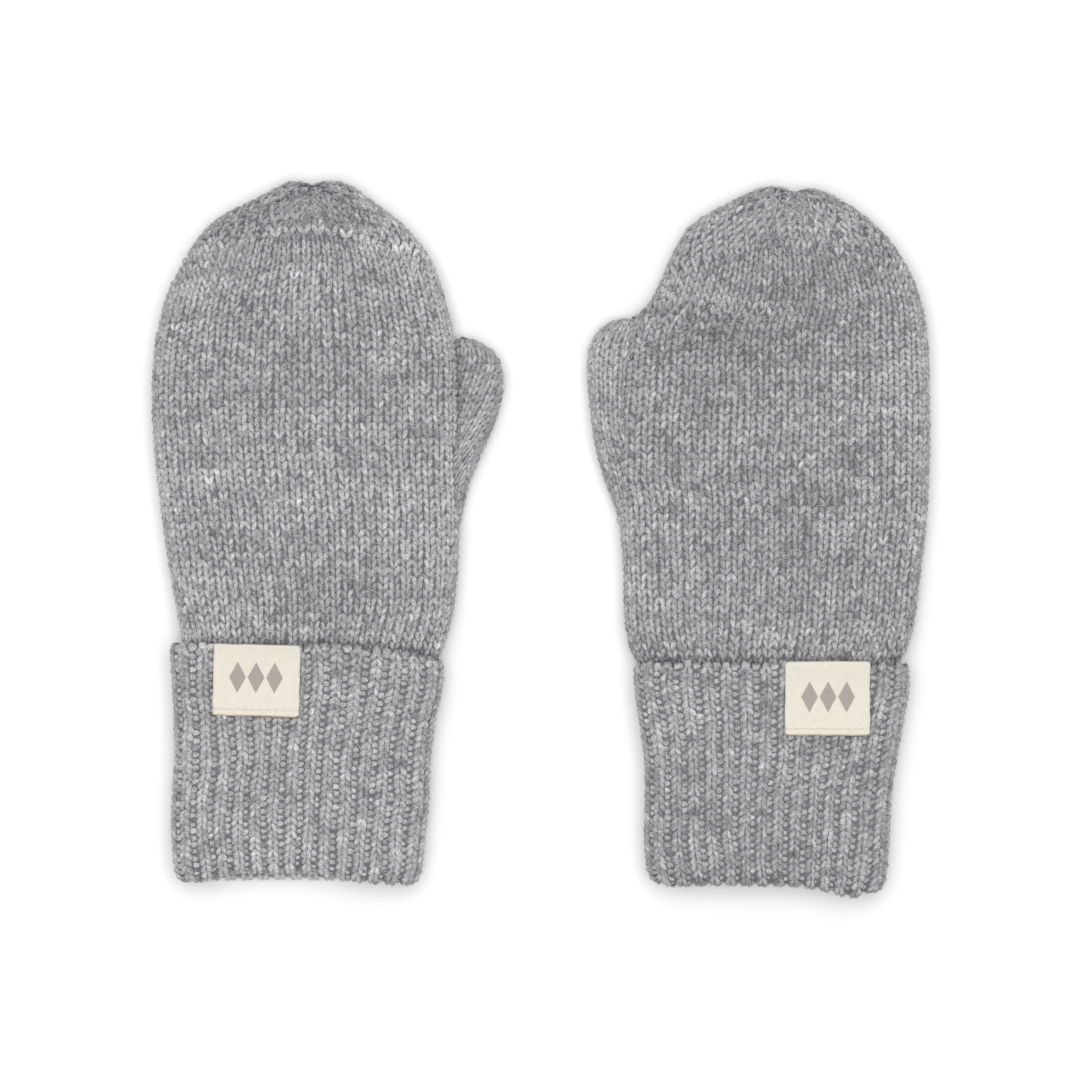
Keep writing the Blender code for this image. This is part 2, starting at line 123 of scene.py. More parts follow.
RIGHT = Mitten(
    name="right",
    seed=47,
    tone=-0.05,
    hand=(
        Row(-37.5, 28.0, 86.8), Row(-35.0, 26.7, 88.2), Row(-31.0, 24.5, 89.3),
        Row(-28.5, 22.8, 91.2), Row(-25.0, 21.8, 92.5), Row(-20.0, 21.0, 93.7),
        Row(-10.0, 20.7, 95.0), Row(5.0, 19.9, 96.7), Row(20.0, 19.8, 97.5),
        Row(35.0, 20.6, 97.5), Row(50.0, 21.8, 97.0), Row(55.0, 22.9, 96.4),
        Row(60.0, 27.5, 95.3), Row(65.0, 30.0, 93.5), Row(70.0, 32.2, 91.0),
        Row(75.0, 34.8, 87.5), Row(80.0, 39.0, 82.8), Row(82.5, 43.0, 79.5),
        Row(85.0, 48.2, 75.5), Row(87.0, 52.2, 71.8), Row(88.0, 54.5, 68.0),
        Row(88.5, 57.5, 63.0),
    ),
    ridge=73.0,
    ridge_line=66.5,
    ridge_rise=0.2,
    gather=(63.4, 85.7),
    folds=0.55,
    thumb=Thumb(
        rows=(
            Row(2.0, 19.6, 26.0), Row(4.0, 19.4, 26.5), Row(7.0, 18.9, 26.5),
            Row(10.0, 17.8, 26.5), Row(15.0, 16.0, 26.0), Row(20.0, 14.5, 24.5),
            Row(25.0, 13.5, 22.4), Row(28.0, 13.0, 21.4), Row(32.0, 12.5, 21.3),
            Row(37.0, 12.0, 21.6), Row(44.0, 11.7, 22.2), Row(50.0, 12.8, 22.9),
            Row(53.0, 15.0, 23.6), Row(54.6, 17.4, 24.0), Row(55.5, 19.8, 23.8),
        ),
        tip=55.5,
        gather=(20.3, 52.6),
        slant=0.0,
        wales=13,
    ),
    cuff=(
        Row(-89.0, 28.0, 85.2), Row(-85.0, 26.9, 86.2), Row(-75.0, 25.8, 87.1),
        Row(-65.0, 26.0, 87.6), Row(-55.0, 25.8, 89.0), Row(-45.0, 24.5, 90.8),
        Row(-35.0, 23.2, 92.2), Row(-30.0, 23.2, 92.0),
    ),
    free_edge=((23.0, -33.0), (25.5, -31.1), (61.0, -31.0), (90.0, -31.4), (92.0, -33.0)),
    fold_front=(
        (26.0, -85.2), (31.0, -86.6), (40.0, -86.2), (66.0, -86.6), (74.0, -87.9), (81.5, -89.6),
        (86.0, -88.0),
    ),
    fold_back=(
        (26.0, -86.0), (30.0, -87.1), (35.0, -87.0), (42.0, -86.7), (66.0, -87.0), (74.0, -88.2),
        (81.5, -89.9), (86.0, -88.4),
    ),
    seam=-37.5,
    label=Label(60.7, 81.8, -30.2, -48.6, 0.0),
)

# Forms shared with the solids
HAND_FLOOR = ((-2.2, 2.5), (1.3, 2.4), (6.3, 1.2), (11.3, 0.0))
HAND_TOP = ((-6.0, 11.1), (-2.2, 10.8), (6.3, 11.0))
HAND_CROWN = 0.5
THUMB_TOP = ((2.0, 6.4), (12.0, 7.6), (22.0, 9.0))
CUFF_RADIUS = 6.8
CUFF_HALF_WIDTH = 33.8
RIB_HEIGHT = 0.7
RIB_WALL = 2.0
LAYER_GAP = 0.5
FOLD_RADIUS = RIB_WALL + LAYER_GAP / 2
FLARE = 1.4
FLARE_LENGTH = 8.0
LABEL_BACK = 2.0
SEWING_UP = 1.65
SEWING_START = 0.8
LABEL_BEND = 0.5
SEAM_GAP = 0.3

# Rows of the hand's grid between the ridge and the gather
CAP_ROWS = 28
# How far the cloth between the stitches lies below their crests, and how thick it is
KNIT_DEPTH = 0.62
CLOTH = 1.2

# A stitch's leg: its path as (across in wales, along in courses, height in mm), its half width along
# the path, and how much rounder than flat it stands
KNIT_LEG = Leg(
    path=(
        (0.08, -0.74, -0.38), (0.15, -0.25, 0.14), (0.25, 0.20, 0.26), (0.36, 0.56, 0.05),
        (0.42, 0.82, -0.42),
    ),
    width=(0.27, 0.58, 0.71, 0.54, 0.22),
    relief=0.78,
    stations=5,
    sides=4,
)
RIB_LEG = Leg(
    path=(
        (0.03, -0.74, -0.38), (0.09, -0.25, 0.12), (0.175, 0.20, 0.26), (0.265, 0.56, 0.06),
        (0.32, 0.82, -0.4),
    ),
    width=(0.28, 0.64, 0.82, 0.66, 0.30),
    relief=0.78,
    stations=5,
    sides=4,
)
# Bumps as (width in wales, height in courses, rise in mm): in the rib's valleys, and on its free edge
PURL = (0.40, 1.0, 0.68)
EDGE_KNIT = (0.52, 1.2, 0.7)
EDGE_PURL = (0.40, 1.0, 0.5)
# How much darker a strand's flanks are than its crest, where its neighbours shade it
FLANK = 0.34

# Stitches past the ridge: two rings at the gather, then rows at these parts of a course. Each row
# keeps the places where a stitch of its width finds room: full rows, half rows, then what is left.
GATHER_RINGS = (Ring(6, 0.9, 1.5, 0.0), Ring(9, 2.3, 2.1, 0.03))
RING_STITCHES = sum(r.stitches for r in GATHER_RINGS)
FULL_ROW, HALF_ROW, SPARE_ROW = 0.45, 0.95, 0.2
FULL_WIDTH, HALF_WIDTH, SPARE_WIDTH, RIDGE_WIDTH = 2.75, 2.4, 1.9, 3.5
# A number of mm below the ridge past every real row, which marks the stitches of the rings
AT_GATHER = 50
# Length of the room that such a stitch needs, as a share of its width
ROOM_ALONG = 0.62

# Loose fibres: shortest and longest, in mm, and half the width they are drawn with
FIBRE_LENGTHS = (1.2, 3.2)
FIBRE_HALF_WIDTH = 0.040

# The label's print in mm on the tape: its middle across and up, the spacing and half sizes of its
# diamonds, and half the width of the row of three
PRINT_MIDDLE, PRINT_UP = 10.65, 9.6
DIAMOND_HALF_PITCH, DIAMOND_HALF_WIDTH, DIAMOND_HALF_HEIGHT = 2.3, 2.1, 3.9
PRINT_HALF_WIDTH = 6.9
WEAVE_PITCH = 0.5

# The camera, in metres and millimetres of lens: the width of the picture at the cloth's height
PICTURE_WIDTH, CLOTH_HEIGHT = 0.270, 0.009
SENSOR, LENS = 36.0, 150.0


def linear(code):
    """An sRGB hex colour in linear light, with the standard's two-part curve."""
    parts = np.array([int(code[k : k + 2], 16) for k in (1, 3, 5)]) / 255
    low = parts / 12.92
    high = ((parts + 0.055) / 1.055) ** 2.4
    return tuple(float(n) for n in np.where(parts <= 0.04045, low, high))


class KnitSizes(bpy.types.PropertyGroup):
    """Gauge of the hands and thumbs, in stockinette, and of the cuffs, in rib."""

    course: bpy.props.FloatProperty(
        name="Course", description="Height of one row of stockinette", default=0.0019, unit="LENGTH"
    )
    wales: bpy.props.IntProperty(
        name="Wales round the hand", description="Columns of stitches all round", default=54
    )
    rib_course: bpy.props.FloatProperty(
        name="Rib course", description="Height of one row of rib", default=0.00171, unit="LENGTH"
    )
    rib_pitch: bpy.props.FloatProperty(
        name="Rib pitch", description="Width of one rib and valley before the cuff is narrowed",
        default=0.00485, unit="LENGTH",
    )
    fuzz: bpy.props.IntProperty(
        name="Loose fibres", description="Loose wool fibres on each hand", default=8500
    )


class WoolColours(bpy.types.PropertyGroup):
    """The heathered grey: a dark and a light fibre, mixed differently in every stitch."""

    light: bpy.props.FloatVectorProperty(
        name="Light fibre", description="Lightest yarn", subtype="COLOR", default=linear("#CFCFD0")
    )
    dark: bpy.props.FloatVectorProperty(
        name="Dark fibre", description="Darkest yarn", subtype="COLOR", default=linear("#747476")
    )
    # painted shade: the cloth between the stitches is coloured darker than the yarn, for the shade there
    ground: bpy.props.FloatVectorProperty(
        name="Ground", description="Cloth between stitches", subtype="COLOR", default=linear("#7C7C7E")
    )
    loose: bpy.props.FloatVectorProperty(
        name="Loose fibre", description="Fibres on the surface", subtype="COLOR", default=linear("#E2E2E3")
    )


class TapeLooks(bpy.types.PropertyGroup):
    """The label: sizes of its sewing, and the colours of tape, thread and print."""

    dash: bpy.props.FloatProperty(
        name="Stitch", description="Length of one sewn stitch", default=0.0014, unit="LENGTH"
    )
    gap: bpy.props.FloatProperty(
        name="Stitch gap", description="Gap between two stitches", default=0.0005, unit="LENGTH"
    )
    tape: bpy.props.FloatVectorProperty(
        name="Tape", description="Cream cotton", subtype="COLOR", default=linear("#F0EADC")
    )
    thread: bpy.props.FloatVectorProperty(
        name="Thread", description="Sewing thread", subtype="COLOR", default=linear("#FBF7E6")
    )
    ink: bpy.props.FloatVectorProperty(
        name="Print", description="Plain taupe diamonds", subtype="COLOR", default=linear("#B3ABA3")
    )
    cut_end: bpy.props.FloatVectorProperty(
        name="Cut end", description="Tan lower edge", subtype="COLOR", default=linear("#E0CFAE")
    )


class StageLooks(bpy.types.PropertyGroup):
    """The table and the soft light."""

    table: bpy.props.FloatVectorProperty(
        name="Table", description="Near-white surface", subtype="COLOR", default=linear("#FAFAFA")
    )
    glow: bpy.props.FloatProperty(name="Table glow", description="Light of a lit white table", default=0.01)
    key: bpy.props.FloatProperty(name="Key light", description="Watts of the big soft light", default=12.0)
    fill: bpy.props.FloatProperty(
        name="Fill light", description="Strength of the room's light", default=0.42
    )


def curve(places, values, at):
    """A smooth line through a table: on each stretch a cubic whose slope at the table's rows is that
    of the chords on either side."""
    places, values = np.asarray(places, float), np.asarray(values, float)
    slope = np.gradient(values, places)
    at = np.clip(at, places[0], places[-1])
    k = np.clip(np.searchsorted(places, at) - 1, 0, len(places) - 2)
    width = places[k + 1] - places[k]
    t = (at - places[k]) / width
    rest = 1 - t
    return (
        values[k] * rest * rest * (1 + 2 * t)
        + values[k + 1] * t * t * (3 - 2 * t)
        + width * t * rest * (slope[k] * rest - slope[k + 1] * t)
    )


def line(pairs, at):
    """The value of a table of (place, value) pairs, straight between its rows."""
    return np.interp(at, [p[0] for p in pairs], [p[1] for p in pairs])


def edges(rows, along):
    """Left and right edge of an outline at each place along it."""
    places = [r.along for r in rows]
    return curve(places, [r.left for r in rows], along), curve(places, [r.right for r in rows], along)


def ease(t):
    """0 to 1 with a soft start and end: 3t squared less 2t cubed."""
    t = np.clip(t, 0, 1)
    return t * t * (3 - 2 * t)


def bell(distance, width):
    """1 at no distance and falling off evenly to both sides: e to the minus square of their share."""
    return np.exp(-((distance / width) ** 2))


def drift(a, b, seed):
    """Smooth uneven values from -1 to 1 that change over about one step of a or b: a random value at
    each whole step, eased between them. The same on every run."""
    lattice = np.random.default_rng(seed).uniform(-1, 1, (97, 89))
    i, j = np.floor(a).astype(int), np.floor(b).astype(int)
    s, t = ease(a - i), ease(b - j)
    low = lattice[i % 97, j % 89] * (1 - s) + lattice[(i + 1) % 97, j % 89] * s
    high = lattice[i % 97, (j + 1) % 89] * (1 - s) + lattice[(i + 1) % 97, (j + 1) % 89] * s
    return low * (1 - t) + high * t


class Cloth:
    """A surface as points by row and column, closed round its columns. A place on it is given in
    wales round, courses along and millimetres out from it."""

    def __init__(self, points, per_wale, per_course):
        self.points, self.per_wale, self.per_course = points, per_wale, per_course
        around = np.roll(points, -1, 1) - np.roll(points, 1, 1)
        along = np.gradient(points, axis=0)
        normal = np.cross(around, along)
        self.normals = normal / np.maximum(np.linalg.norm(normal, axis=2, keepdims=True), 1e-9)

    @property
    def courses(self):
        return (len(self.points) - 1) / self.per_course

    def lowered(self, depth):
        return Cloth(self.points - self.normals * depth, self.per_wale, self.per_course)

    def at(self, wale, course, out):
        """Points at those wales, courses and heights, each mixed from the four grid points round it, or
        straight on from them just before the first row."""
        rows, columns = self.points.shape[:2]
        row = np.clip(course * self.per_course, -3, rows - 1.001)
        column = wale * self.per_wale
        i, j = np.maximum(np.floor(row).astype(int), 0), np.floor(column).astype(int)
        s, t = (row - i)[..., None], (column - j)[..., None]
        left, right = j % columns, (j + 1) % columns

        def mixed(grid):
            first = grid[i, left] * (1 - t) + grid[i, right] * t
            return first * (1 - s) + (grid[i + 1, left] * (1 - t) + grid[i + 1, right] * t) * s

        return mixed(self.points) + mixed(self.normals) * np.asarray(out)[..., None]


def tube(along, left, right, roll_left, roll_right, floor, top, columns):
    """Rings of a flattened tube: half ellipses at its two sides joined by straight lines. Each ring
    runs from its left side over the top and back underneath, in equal steps of its own length."""
    right_angle = math.pi / 2
    quarter = np.linspace(0, right_angle, 13)
    angle = np.concatenate([math.pi - quarter, right_angle - quarter, -quarter, -right_angle - quarter])
    side = np.repeat([-1, 1, 1, -1], len(quarter))
    roll = np.where(side < 0, roll_left[:, None], roll_right[:, None])
    edge = np.where(side < 0, left[:, None], right[:, None])
    x = edge - side * roll + roll * np.cos(angle)
    z = (floor + top)[:, None] / 2 + (top - floor)[:, None] / 2 * np.sin(angle)
    steps = [np.diff(n, axis=1, prepend=n[:, :1]) for n in (x, z)]
    length = np.cumsum(np.hypot(*steps), 1)
    points = np.empty((len(along), columns, 3))
    for k in range(len(along)):
        place = np.arange(columns) / columns * length[k, -1]
        points[k, :, 0] = np.interp(place, length[k], x[k])
        points[k, :, 1] = along[k]
        points[k, :, 2] = np.interp(place, length[k], z[k])
    return points


def hand_cloth(mitten, sizes):
    """The hand's surface. Up to the ridge near its end its courses cross the flattened tube, sinking
    a little towards the sides. Past the ridge they are that last course drawn in evenly to the
    gather, on the surface rolled out flat over the finger end's edge."""
    per_wale, per_course, step = 4, 2, 0.5
    columns = sizes.wales * per_wale
    course = sizes.course / MM
    places = np.arange(mitten.seam, mitten.ridge + 2, step)
    left, right = edges(mitten.hand, places)
    from_edge = places - mitten.free_edge[1][1]
    floor, top = line(HAND_FLOOR, from_edge), line(HAND_TOP, from_edge)
    half = (top - floor) / 2
    slope_left, slope_right = np.gradient(left, step), np.gradient(right, step)
    beside = 0.72 * ease((places - 8) / 8) * ease((58 - places) / 8) * (mitten.name == "right")
    rings = tube(
        places, left, right, half * np.hypot(1, slope_left) * (1 - beside), half * np.hypot(1, slope_right),
        floor, top, columns,
    )
    flat = Cloth(rings, 1, 1)
    courses = int((mitten.ridge - mitten.seam) / course)
    middle = mitten.ridge - course * np.arange(courses * per_course, -1, -1)[:, None] / per_course
    round_way = np.arange(columns)[None, :] / columns
    sideways = np.abs(np.cos(2 * math.pi * round_way))
    sink = 6.0 * ease((middle - 30) / (mitten.ridge - 30)) * sideways**2.2
    grid = np.broadcast_to(np.arange(columns)[None, :], (len(middle), columns)).astype(float)
    body = flat.at(grid, (middle - sink - mitten.seam) / step, np.zeros(grid.shape))
    cap, tip = finger_end(mitten, body[-1])
    points = np.concatenate([body, cap])
    return Cloth(dressed(mitten, points), per_wale, per_course), courses, tip


def finger_end(mitten, last):
    """The cloth past the ridge, and the places of the last course and of the gather on it rolled out
    flat. There a point is known by its place across and by its way down from the outline's edge along
    the surface, positive on the back of the hand and negative underneath; the last course is drawn
    towards the gather in equal steps of those two numbers."""
    half = 5.5
    rows = [r for r in mitten.hand if r.along > 55]
    fine = np.linspace(rows[0].along, rows[-1].along, 200)
    left, right = edges(rows, fine)
    edge_x = np.concatenate([left, right[::-1]])
    edge_y = np.concatenate([fine, fine[::-1]])
    order = np.argsort(edge_x)
    edge_x, edge_y = edge_x[order], edge_y[order]

    def border(x):
        y = np.interp(x, edge_x, edge_y)
        slope = np.interp(x + 0.5, edge_x, edge_y) - np.interp(x - 0.5, edge_x, edge_y)
        nick = 1.1 * bell(x - mitten.gather[0], 2.2)
        return y - nick, 1 / np.hypot(1, np.clip(slope, -2.5, 2.5))

    def unrolled(x, y, side):
        edge, lean = border(x)
        inset = np.clip(edge - y, 0, None) * lean
        on_roll = half * np.arccos(1 - np.clip(inset / half, 0, 1))
        arc = np.where(inset < half, on_roll, half * math.pi / 2 + inset - half)
        return side * arc / lean

    def rolled(x, way):
        edge, lean = border(x)
        arc = np.abs(way) * lean
        turn = np.minimum(arc / half, math.pi / 2)
        inset = half * (1 - np.cos(turn)) + np.clip(arc - half * math.pi / 2, 0, None)
        return np.stack([x, edge - inset / lean, half + np.sign(way) * half * np.sin(turn)], -1)

    side = np.where(last[:, 2] >= half, 1.0, -1.0)
    start = np.stack([last[:, 0], unrolled(last[:, 0], last[:, 1], side)], -1)
    goal = np.array([mitten.gather[0], float(unrolled(np.array(mitten.gather[0]), mitten.gather[1], 1.0))])
    share = 1 - np.arange(1, CAP_ROWS + 1) / CAP_ROWS
    share[-1] = 0.004
    drawn = goal + (start - goal)[None] * share[:, None, None]
    return rolled(drawn[..., 0], drawn[..., 1]), (start, goal)


def dressed(mitten, points):
    """The hand's own relief on its back: a low crown, slow unevenness, gathers above the cuff, a
    groove past the ridge, and folds that run out from the gather."""
    x, y, z = points[..., 0], points[..., 1], points[..., 2]
    back = np.clip((z - 5.5) / 5.5, 0, 1)
    left, right = edges(mitten.hand, np.clip(y, mitten.hand[0].along, mitten.hand[-4].along))
    inner = np.clip(1 - ((x - (left + right) / 2) / (right - left) * 2) ** 2, 0, 1)
    from_edge = y - mitten.free_edge[1][1]
    rise = HAND_CROWN * inner * np.clip(from_edge / 14, 0, 1)
    rise += 0.35 * drift(x / 13, y / 17, mitten.seed) * np.sqrt(inner) * np.clip(from_edge / 8, 0, 1)
    waves = 0.5 - 0.5 * np.cos(2 * math.pi * (x / 11.0 + 0.25 * drift(x / 20, y / 9, mitten.seed + 1)))
    rise -= 0.5 * inner * waves * bell(from_edge - 6, 4.7)
    across, along = x - mitten.gather[0], y - mitten.gather[1]
    away, turn = np.hypot(across, along), np.arctan2(along, across)
    rise -= 0.55 * bell(away, 3.2)
    fold = np.cos(7 * turn + 1.1) * mitten.folds
    rise += fold * ease((away - 1.5) / 6) * bell(away, 12)
    if mitten.name == "right":
        rise -= 1.7 * bell(x - left, 4.2) * ease((y - 6) / 8) * ease((60 - y) / 8)
    line_up = y - mitten.ridge_line - 0.5 * drift(x / 5, y * 0, mitten.seed + 2)
    span = bell(x - mitten.gather[0], 22)
    rise += mitten.ridge_rise * span * (0.7 * bell(line_up - 0.6, 1.3) - bell(line_up + 1.9, 1.2))
    points = points.copy()
    points[..., 2] += back * rise
    return points


def thumb_cloth(mitten, sizes):
    """The thumb's surface: a flattened tube whose last courses roll over its end in equal steps."""
    per_wale, per_course = 4, 2
    thumb = mitten.thumb
    course = sizes.course / MM / per_course
    radius = 4.3
    turns = np.arange(1, int(radius * math.pi / 2 / course) + 1) * course / radius
    straight = np.arange(thumb.rows[0].along, thumb.tip - radius, course)
    along = np.concatenate([straight, thumb.tip - radius + radius * np.sin(turns)])
    full = np.concatenate([np.ones(len(straight)), np.cos(turns)])
    left, right = edges(thumb.rows, along)
    top = line(THUMB_TOP, along)
    half = top / 2
    roll = np.minimum(half * full, (right - left) / 2 - 0.05)
    floor, high = half - half * full, half + half * full
    is_left = mitten.name == "left"
    inner = np.minimum(roll, 4.0 if is_left else 1.3)
    rolls = (inner, roll) if is_left else (roll, inner)
    points = tube(along, left, right, *rolls, floor, high, thumb.wales * per_wale)
    upper = np.clip(points[..., 2] / 4.5 - 1, 0, 1)
    away = np.hypot(points[..., 0] - thumb.gather[0], points[..., 1] - thumb.gather[1])
    points[..., 2] -= (0.6 if is_left else 1.2) * bell(away, 2.2) * upper
    if is_left:
        points[..., 2] -= 2.6 * bell((points[..., 0] - left[:, None]) / 2.4, 1.0) * upper
    return Cloth(points, per_wale, per_course)


def rib_columns(sizes, per_rib):
    """Round the cuff in equal steps from its left side over the top: how far each point's centre lies
    from the middle, its direction outwards, and its place within its rib from 0 to 1. The ribs are
    set out on the nominal width; cuff_cloth then narrows the flat parts to the outline, ribs and all."""
    straight = 2 * (CUFF_HALF_WIDTH - CUFF_RADIUS)
    arc = math.pi * CUFF_RADIUS
    ribs = round(2 * (straight + arc) / (sizes.rib_pitch / MM))
    place = np.arange(ribs * per_rib) / (ribs * per_rib) * 2 * (straight + arc)
    knots = np.array([
        0, arc / 2, arc / 2 + straight, arc * 1.5 + straight, arc * 1.5 + 2 * straight,
        2 * (arc + straight),
    ])
    up, down = math.pi / 2, -math.pi / 2
    centre = np.interp(place, knots, [-1, -1, 1, 1, -1, -1])
    angle = np.interp(place, knots, [math.pi, up, up, down, down, -math.pi])
    within = np.arange(ribs * per_rib) / per_rib % 1
    return ribs, centre, np.cos(angle), np.sin(angle), within


def cuff_cloth(mitten, sizes):
    """The cuff's surface as one sheet: from the free edge down the outside, round the fold, and up the
    inside to the seam. Ribs stand on the outside and fade on the fold."""
    per_rib, per_course = 8, 2
    ribs, centre, out_x, out_z, within = rib_columns(sizes, per_rib)
    step = sizes.rib_course / MM / per_course
    rolled = CUFF_RADIUS / CUFF_HALF_WIDTH
    places = [r.along for r in mitten.cuff]
    lefts, rights = [r.left for r in mitten.cuff], [r.right for r in mitten.cuff]
    mid = (lefts[3] + rights[3]) / 2
    across = mid + (rights[3] - lefts[3]) / 2 * (centre * (1 - rolled) + out_x * rolled)
    label = mitten.label
    under_label = ease((across - label.left + 1) / 2) * ease((label.right + 1 - across) / 2) * (out_z > 0)
    free = line(mitten.free_edge, across) - 0.8 * under_label
    front = np.clip(0.5 + out_z, 0, 1)
    fold = line(mitten.fold_front, across) * front + line(mitten.fold_back, across) * (1 - front)
    under = np.clip((out_z + 0.9) / 0.5, 0.35, 1)
    crest = RIB_HEIGHT * under
    hump = np.clip(1.25 * np.sin(math.pi * within) ** 0.8 - 0.12, 0, 1)
    ribbed = crest * (0.15 + 0.85 * hump)
    turn_line = fold + crest + FOLD_RADIUS

    def row(along, inset, share, flared, inset_x=None):
        low, high = curve(places, lefts, along), curve(places, rights, along)
        radius = CUFF_RADIUS - inset + ribbed * share
        radius_x = radius if inset_x is None else CUFF_RADIUS - inset_x + ribbed * share
        half = (high - low) / 2 - RIB_HEIGHT - CUFF_RADIUS
        z = CUFF_RADIUS + radius * out_z
        if flared:
            z = z + FLARE * np.clip(1 - (free - along) / FLARE_LENGTH, 0, 1) ** 2 * np.clip(out_z, 0, 1)
        x = (low + high) / 2 + half * centre + radius_x * out_x
        sway = 0.45 * drift(x / 6, along / 9, mitten.seed + 70)
        sway = sway + 0.25 * drift(x / 3, along / 5, mitten.seed + 71)
        return np.stack([x + sway * np.abs(out_z) * share, along, z], -1)

    outer = int(round((free.mean() - turn_line.mean()) / step))
    rows = [row(free + (turn_line - free) * k / outer, 0.0, 1.0, True) for k in range(outer)]
    turns = int(round(math.pi * FOLD_RADIUS / step))
    for k in range(turns):
        turn = math.pi * k / turns
        share = min(1.0, 2 * (1 - k / turns))
        reach = FOLD_RADIUS + ribbed * share
        radial = FOLD_RADIUS * (1 - math.cos(turn))
        inset_x = radial * (0.4 + 0.6 * max(0.0, 2 * k / turns - 1))
        down = turn_line - reach * math.sin(turn)
        rows.append(row(down, radial, share * abs(math.cos(turn)), False, inset_x))
    inner = int(round((mitten.seam - turn_line.mean()) / step))
    for k in range(inner + 1):
        rows.append(row(turn_line + (mitten.seam - turn_line) * k / inner, 2 * FOLD_RADIUS, 0.0, False))
    points = np.stack(rows)
    points[..., 2] = np.clip(points[..., 2], 0.0, None)
    return Cloth(points[:, ::-1], per_rib, per_course), ribs, outer / per_course


def strand(leg, pitch, course):
    """One leg of a stitch: a half round strand along a path. Its places across (wales) and along
    (courses), its heights, and its faces; across is widened square to the path."""
    knots = np.linspace(0, 1, len(leg.path))
    t = np.linspace(0, 1, leg.stations)
    across, along, out = (curve(knots, [p[k] for p in leg.path], t) for k in range(3))
    width = curve(knots, leg.width, t)
    way_x, way_y = np.gradient(across * pitch), np.gradient(along * course)
    size = np.hypot(way_x, way_y)
    turn = np.linspace(-0.35, math.pi + 0.35, leg.sides + 1)
    side = width[:, None] * np.cos(turn)[None]
    a = across[:, None] + side * (way_y / size)[:, None] / pitch
    b = along[:, None] - side * (way_x / size)[:, None] / course
    h = out[:, None] + leg.relief * width[:, None] * np.sin(turn)[None]
    count = leg.sides + 1
    first = (np.arange(leg.stations - 1)[:, None] * count + np.arange(leg.sides)[None]).ravel()
    faces = np.stack([first, first + 1, first + count + 1, first + count], -1)
    # painted shade: each leg darker towards its ends and on its flanks, where its neighbours shade it
    ends = np.interp(t, [0, 0.3, 0.7, 1], [0.30, 0, 0, 0.30])
    shade = 0.08 - ends[:, None] - FLANK * (1 - np.clip(np.sin(turn), 0, 1))[None]
    u = np.broadcast_to(np.linspace(0.04, 0.96, count)[None], a.shape)
    v = np.broadcast_to(np.linspace(0.04, 0.96, leg.stations)[:, None], a.shape)
    return a.ravel(), b.ravel(), h.ravel(), faces, shade.ravel(), np.stack([u.ravel(), v.ravel()], -1)


def bump(width, height, rise):
    """One small rounded bump, width wales across and height courses along, rise mm high, with painted shade
    darker towards its rim.
    """
    s, t = np.meshgrid(np.linspace(-1, 1, 5), np.linspace(-1, 1, 4))
    dome = np.sqrt(np.clip(1 - np.maximum(abs(s), abs(t)) ** 2, 0, 1))
    first = (np.arange(3)[:, None] * 5 + np.arange(4)[None]).ravel()
    faces = np.stack([first, first + 1, first + 6, first + 5], -1)
    squeeze = np.sqrt(1 - 0.5 * t**2)
    uv = np.stack([s.ravel() * 0.46 + 0.5, t.ravel() * 0.46 + 0.5], -1)
    a, b, h = (s * squeeze * width / 2).ravel(), (t * height / 2).ravel(), (dome * rise - 0.25).ravel()
    # painted shade: the bump's tone falls towards its rim
    return a, b, h, faces, 0.04 - 0.22 * (1 - dome.ravel()), uv


def laid(cloth, shape, wale, course, mirror, lift, tone, widen=1.0, slant=0.0):
    """Copies of one strand or bump on a cloth: arrays of points, faces, tones, places in a sheet with
    one square cell for each copy, and places on the yarn in millimetres, apart for each copy. Each is
    widened in wales and slanted."""
    a, b, h, faces, shade, cell = shape
    count = len(wale)
    mirror, widen = (np.broadcast_to(n, (count,)) for n in (mirror, widen))
    along = course[:, None] + b[None]
    across = wale[:, None] + (mirror * widen)[:, None] * a[None] + slant * b[None]
    points = cloth.at(across, along, lift[:, None] + h[None])
    turned = np.where((mirror < 0)[:, None, None], faces[None, :, ::-1], faces[None])
    quads = turned + (np.arange(count) * len(a))[:, None, None]
    cells = int(math.ceil(math.sqrt(count)))
    corner = np.stack([np.arange(count) % cells, np.arange(count) // cells], -1)
    sheet = (corner[:, None] + cell[None]) / cells
    tones = tone[:, None] + shade[None]
    spun = np.empty((count, len(a), 3))
    spun[..., :2] = cell * (1.4, 2.9) + (np.arange(count) % 61)[:, None, None] * (5.3, 3.7)
    spun[..., 2] = np.arange(count)[:, None] * 0.37
    quads, sheet, spun = quads.reshape(-1, 4), sheet.reshape(-1, 2), spun.reshape(-1, 3)
    return points.reshape(-1, 3), quads, tones.ravel(), sheet, spun


def upright(cloth, shape, wale, course, mirror, lift, tone, ahead, size, high):
    """Copies of one strand like laid's, each on its own level piece of cloth in place of the grid: size
    mm wide and high mm long, with its length along its own heading, so that none is drawn out where
    the columns lean."""
    a, b, h = shape[:3]
    centre = cloth.at(wale, course, np.zeros(len(wale)))
    out = cloth.at(wale, course, np.ones(len(wale))) - centre
    aside = np.cross(ahead, out)
    points = (
        centre[:, None]
        + (mirror * size * a[None])[..., None] * aside[:, None]
        + (high * b[None])[..., None] * ahead[:, None]
        + (lift[:, None] + h[None])[..., None] * out[:, None]
    )
    rest = laid(cloth, shape, wale, course, mirror, lift, tone)
    return (points.reshape(-1, 3), *rest[1:])


def joined(parts):
    """Several such sets as one, with their sheets side by side."""
    start = np.cumsum([0] + [len(part[0]) for part in parts])
    points, quads, tones, sheets, spun = zip(*parts)
    quads = [q + n for q, n in zip(quads, start)]
    sheets = [(sheet + (k, 0)) / (len(parts), 1) for k, sheet in enumerate(sheets)]
    return tuple(np.concatenate(n) for n in (points, quads, tones, sheets, spun))


